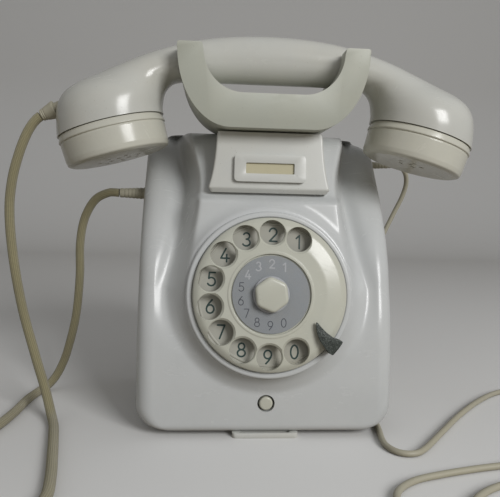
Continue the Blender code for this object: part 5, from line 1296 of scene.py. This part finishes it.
def make_plug():
    """The plug's moulded body with its grips, its three round pins and its strain relief."""
    low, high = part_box("line_plug")
    body_low = Vector((low.x + 10 * MM, low.y, low.z))
    middle = (body_low + high) / 2
    plug = piece("plug_body", block(body_low, high, 2.2 * MM, 4), "cord_vinyl", "line_plug")
    grips = bmesh.new()
    for i in range(5):
        x = high.x - (5 + 2.6 * i) * MM
        for y in (low.y - 0.4 * MM, high.y + 0.4 * MM):
            append(grips, rod((x, y, low.z - MM), (x, y, high.z + MM), 0.9 * MM, 16))
    append(grips, rod((middle.x - 4 * MM, middle.y, high.z - MM),
                      (middle.x - 4 * MM, middle.y, high.z + MM), 2.6 * MM, 28))
    carve(plug, tool(grips))
    pins = bmesh.new()
    profile = softened([(0.0, 0.0, 0), (1.5, 0.0, 0.5), (1.5, 12.0, 0), (0.0, 12.0, 0)], 5)
    for i in range(3):
        turn = Matrix.Translation((low.x, middle.y + (i - 1) * 5.5 * MM, middle.z)) \
            @ Matrix.Rotation(math.radians(90), 4, "Y")
        pin = spun(profile, 24)
        bmesh.ops.transform(pin, matrix=turn, verts=pin.verts)
        append(pins, pin)
    pins = piece("plug_pins", pins, "brass")
    profile = softened([(0.0, -1.5, 0), (3.6, -1.5, 0), (3.6, 0.6, 0.4), (3.0, 1.2, 0.3),
                        (3.2, 2.4, 0.3), (2.6, 3.0, 0.3), (2.8, 4.2, 0.3), (2.2, 4.8, 0.3),
                        (2.3, 6.2, 0.4), (0.0, 6.2, 0)], 4)
    turn = Matrix.Translation((high.x, middle.y, middle.z)) \
        @ Matrix.Rotation(math.radians(90), 4, "Y")
    relief = piece("plug_relief", spun(profile, 40), "cord_vinyl", matrix=turn)
    return plug, pins, relief


# Fittings

def turned_about(profile, steps, start, away):
    """A profile in millimetres, turned about a line from a start."""
    shape = spun(profile, steps)
    bmesh.ops.transform(shape, matrix=pointing(start, away), verts=shape.verts)
    return shape


def make_button():
    low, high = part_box("earth_button")
    z = (low.z + high.z) / 2
    depth = (high.y - low.y) / MM
    profile = softened([
        (0.0, 0.0, 0), (2.9, 0.0, 0.8), (3.55, 0.5, 0.5), (3.6, 6.6, 0.0),
        (5.6, 6.6, 0.2), (5.6, 8.0, 0.2), (3.0, 8.0, 0.0), (3.0, depth, 0), (0.0, depth, 0)], 5)
    piece("push_button", turned_about(profile, 56, (0, low.y, z), (0, 1, 0)), "wheel_cream",
          "earth_button", body="button")


def make_feet():
    """The strip under the middle, whose front shows a slot, and the two rear feet."""
    middle = (FOOT_LOW + FOOT_HIGH) / 2
    half = (FOOT_HIGH - FOOT_LOW) / 2
    outer = rectangle(half.x, half.y, 2.6 * MM, 8)
    slot = [(x, y - half.y + 3.6 * MM) for x, y in rectangle(13.3 * MM, 1.8 * MM, 1.2 * MM)]
    strip = piece("foot_rail", slab([outer, slot], 0.0, FOOT_HIGH.z), "neck_cream", "foot_strip",
                  matrix=Matrix.Translation((middle.x, middle.y, 0)))
    settle(round_edges(strip, 0.5 * MM, 3, 50.0), 40.0)
    for side in ("left", "right"):
        low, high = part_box("rear_foot_" + side)
        radius, height = (high.x - low.x) / 2 / MM, high.z / MM
        profile = softened([(0.0, 0.35, 0), (radius - 2.0, 0.35, 0.3), (radius - 1.6, 0.0, 0.3),
                            (radius - 0.5, 0.0, 0.4), (radius, 0.6, 0.3),
                            (radius - 0.7, height, 0), (0.0, height, 0)], 4)
        centre = ((low.x + high.x) / 2, (low.y + high.y) / 2, 0.0)
        piece("rubber_foot_" + side, turned_about(profile, 48, centre, (0, 0, 1)), "rubber_grey",
              "rear_foot_" + side)


def make_entries():
    """The ribbed sleeves that the cords leave the housing through."""
    for name, node, side in (("handset_cord_relief", "handset_cord_entry", -1),
                             ("line_cord_relief", "line_cord_entry", 1)):
        low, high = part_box(node)
        flange = (high.z - low.z) / 2 / MM
        bore, reach = flange - 1.6, 16.0
        tip = bore - 0.9
        profile = [(0.0, reach, 0), (tip, reach, 0.3)]
        for i in range(6):
            top = reach - 1.0 - 2.2 * i
            radius = bore - 0.9 * top / reach
            profile += [(radius, top, 0.2), (radius, top - 1.4, 0.2),
                        (radius - 0.22, top - 1.6, 0.15), (radius - 0.22, top - 2.1, 0.15)]
        profile += [(bore, 1.4, 0.2), (bore, -4.0, 0), (flange, -4.0, 0.3),
                    (flange, -5.6, 0.3), (0.0, -5.6, 0)]
        wall = sleeve_end(node, side) - Vector((side * (reach + 0.6) * MM, 0.0, 0.0))
        piece(name, turned_about(softened(profile, 3), 40, wall, (side, 0, 0)), "cord_vinyl", node)


def make_screws():
    """Slotted cheese-head screws through the back plate."""
    for height in ("lower", "upper"):
        for side in ("left", "right"):
            node = f"case_screw_{height}_{side}"
            low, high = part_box(node)
            centre = Vector(((low.x + high.x) / 2, high.y, (low.z + high.z) / 2))
            radius, length = (high.x - low.x) / 2 / MM, (high.y - low.y) / MM
            profile = softened([(0.0, 0.0, 0), (radius - 0.2, 0.05, 0.5), (radius, 0.6, 0.3),
                                (radius, 1.5, 0), (1.5, 1.5, 0), (1.5, length - 0.8, 0.4),
                                (0.0, length, 0)], 4)
            screw = piece(f"screw_{height}_{side}", turned_about(profile, 40, centre, (0, -1, 0)),
                          "steel", node)
            lean = Matrix.Translation(centre) @ Matrix.Rotation(0.6 * centre.x / high.y
                                                                + 7 * centre.z, 4, "Y")
            carve(screw, tool(block((-4 * MM, -0.8 * MM, -0.4 * MM), (4 * MM, MM, 0.4 * MM)),
                              lean))


def make_fittings():
    make_button()
    make_feet()
    make_entries()
    make_screws()


# Stage

def make_stage(sizes):
    scene = bpy.context.scene
    lens = bpy.data.cameras.new("camera")
    lens.lens, lens.sensor_width = sizes.lens, 36.0
    lens.clip_start = 0.01
    camera = bpy.data.objects.new("camera", lens)
    scene.collection.objects.link(camera)
    forward = Vector((math.sin(sizes.yaw) * math.cos(sizes.pitch),
                      math.cos(sizes.yaw) * math.cos(sizes.pitch), math.sin(sizes.pitch)))
    right = forward.cross(Vector((0, 0, 1))).normalized()
    up = right.cross(forward)
    leant = Matrix.Rotation(-sizes.roll, 3, forward)
    axes = Matrix((leant @ right, leant @ up, -forward)).transposed().to_4x4()
    camera.matrix_world = Matrix.Translation(sizes.camera) @ axes
    scene.camera = camera

    floor = Finish("floor_paint", roughness=0.9)
    mottle = floor.noise(3.0, 3.0)
    tone = floor.mix(mottle * 0.08, tuple(sizes.floor), shade(sizes.floor, 0.94))
    seen = [floor.node("ShaderNodeLightPath", {}, {}, ray)
            for ray in ("Is Camera Ray", "Is Glossy Ray", "Is Transmission Ray")]
    direct = (seen[0] + seen[1] + seen[2]).clamped()
    floor.set(base_color=floor.mix(direct, tuple(sizes.shade), tone))
    profile = [(-1.6, 0.0), (0.9, 0.0)]
    profile += [(0.9 + 0.5 * math.sin(math.pi / 2 * i / 16),
                 0.5 - 0.5 * math.cos(math.pi / 2 * i / 16)) for i in range(1, 17)]
    profile.append((1.4, 2.6))
    shape = bmesh.new()
    bmesh.ops.create_grid(shape, x_segments=1, y_segments=len(profile) - 1, size=1.0)
    last = len(profile) - 1
    for corner in shape.verts:
        y, z = profile[round((corner.co.y + 1.0) / 2.0 * last)]
        corner.co = (corner.co.x * 2.5, y, z)
    sweep = placed("floor", shape)
    sweep.data.materials.append(floor.material)
    sweep.data.shade_smooth()

    for name, place, size, power in (
            ("key", (0.62, -1.00, 0.64), 0.50, sizes.key),
            ("fill", (-0.8, -0.6, 0.45), 0.7, sizes.fill)):
        lamp = bpy.data.lights.new(name, "AREA")
        lamp.size, lamp.energy = size, power
        made = bpy.data.objects.new(name, lamp)
        scene.collection.objects.link(made)
        aim = Vector((0.0, 0.0, 0.10)) - Vector(place)
        made.matrix_world = Matrix.Translation(place) @ aim.to_track_quat("-Z", "Y") \
            .to_matrix().to_4x4()
    world = bpy.data.worlds.new("sky")
    world.use_nodes = True
    world.node_tree.nodes["Background"].inputs["Color"].default_value = (1, 1, 1, 1)
    world.node_tree.nodes["Background"].inputs["Strength"].default_value = sizes.sky
    scene.world = world
    scene.view_settings.view_transform = "Standard"


# Operators and panel

def settings(name):
    return getattr(bpy.context.scene, name)


class TELEPHONE_OT_finishes(bpy.types.Operator):
    """Make the finishes, and give every part of the frame its own"""
    bl_idname = "telephone.finishes"
    bl_label = "Finishes"

    def execute(self, context):
        make_finishes(settings("telephone_finish"))
        dress_frame()
        return {"FINISHED"}


class TELEPHONE_OT_housing(bpy.types.Operator):
    """Shape the moulded housing with its collar and openings"""
    bl_idname = "telephone.housing"
    bl_label = "Housing"

    def execute(self, context):
        make_housing(settings("telephone_housing"))
        return {"FINISHED"}


class TELEPHONE_OT_neck(bpy.types.Operator):
    """Shape the neck cover, its label holder and the bare card"""
    bl_idname = "telephone.neck"
    bl_label = "Neck cover and label"

    def execute(self, context):
        make_neck(settings("telephone_housing"))
        return {"FINISHED"}


class TELEPHONE_OT_dial(bpy.types.Operator):
    """Shape the finger wheel, its card, the number plate and the finger stop"""
    bl_idname = "telephone.dial"
    bl_label = "Dial"

    def execute(self, context):
        make_wheel(settings("telephone_dial"))
        make_number_plate(settings("telephone_dial"))
        make_finger_stop()
        return {"FINISHED"}


class TELEPHONE_OT_fork(bpy.types.Operator):
    """Shape the cradle fork"""
    bl_idname = "telephone.fork"
    bl_label = "Fork"

    def execute(self, context):
        make_fork(settings("telephone_fork"))
        return {"FINISHED"}


class TELEPHONE_OT_handset(bpy.types.Operator):
    """Shape the handset's grip, caps and cord sleeve"""
    bl_idname = "telephone.handset"
    bl_label = "Handset"

    def execute(self, context):
        make_handset(settings("telephone_handset"))
        return {"FINISHED"}


class TELEPHONE_OT_cords(bpy.types.Operator):
    """Lay the braided handset cord and the line cord with its plug"""
    bl_idname = "telephone.cords"
    bl_label = "Cords"

    def execute(self, context):
        make_cords(settings("telephone_cords"))
        return {"FINISHED"}


class TELEPHONE_OT_fittings(bpy.types.Operator):
    """Shape the push button, the feet, the cords' sleeves and the case screws"""
    bl_idname = "telephone.fittings"
    bl_label = "Fittings"

    def execute(self, context):
        make_fittings()
        return {"FINISHED"}


class TELEPHONE_OT_stage(bpy.types.Operator):
    """Set the floor, the lamps and the camera"""
    bl_idname = "telephone.stage"
    bl_label = "Stage"

    def execute(self, context):
        make_stage(settings("telephone_stage"))
        return {"FINISHED"}


OPERATORS = (
    TELEPHONE_OT_stage, TELEPHONE_OT_finishes, TELEPHONE_OT_cords, TELEPHONE_OT_housing,
    TELEPHONE_OT_neck, TELEPHONE_OT_dial, TELEPHONE_OT_fork, TELEPHONE_OT_handset,
    TELEPHONE_OT_fittings,
)


class TELEPHONE_PT_panel(bpy.types.Panel):
    """Lists the steps that dress the telephone"""
    bl_idname = "TELEPHONE_PT_panel"
    bl_label = "Telephone"
    bl_space_type = "VIEW_3D"
    bl_region_type = "UI"
    bl_category = "Telephone"

    def draw(self, context):
        for step in OPERATORS:
            self.layout.operator(step.bl_idname)
        for name in SETTINGS:
            box = self.layout.box()
            for entry in getattr(context.scene, name).bl_rna.properties:
                if entry.identifier not in {"rna_type", "name"}:
                    box.prop(getattr(context.scene, name), entry.identifier)


CLASSES = (*SETTINGS.values(), *OPERATORS, TELEPHONE_PT_panel)


def register():
    for made in CLASSES:
        bpy.utils.register_class(made)
    for name, group in SETTINGS.items():
        setattr(bpy.types.Scene, name, PointerProperty(type=group))


def unregister():
    for name in SETTINGS:
        delattr(bpy.types.Scene, name)
    for made in reversed(CLASSES):
        bpy.utils.unregister_class(made)


def main():
    register()
    for step in OPERATORS:
        group, name = step.bl_idname.split(".")
        getattr(getattr(bpy.ops, group), name)()


if __name__ == "__main__":
    main()
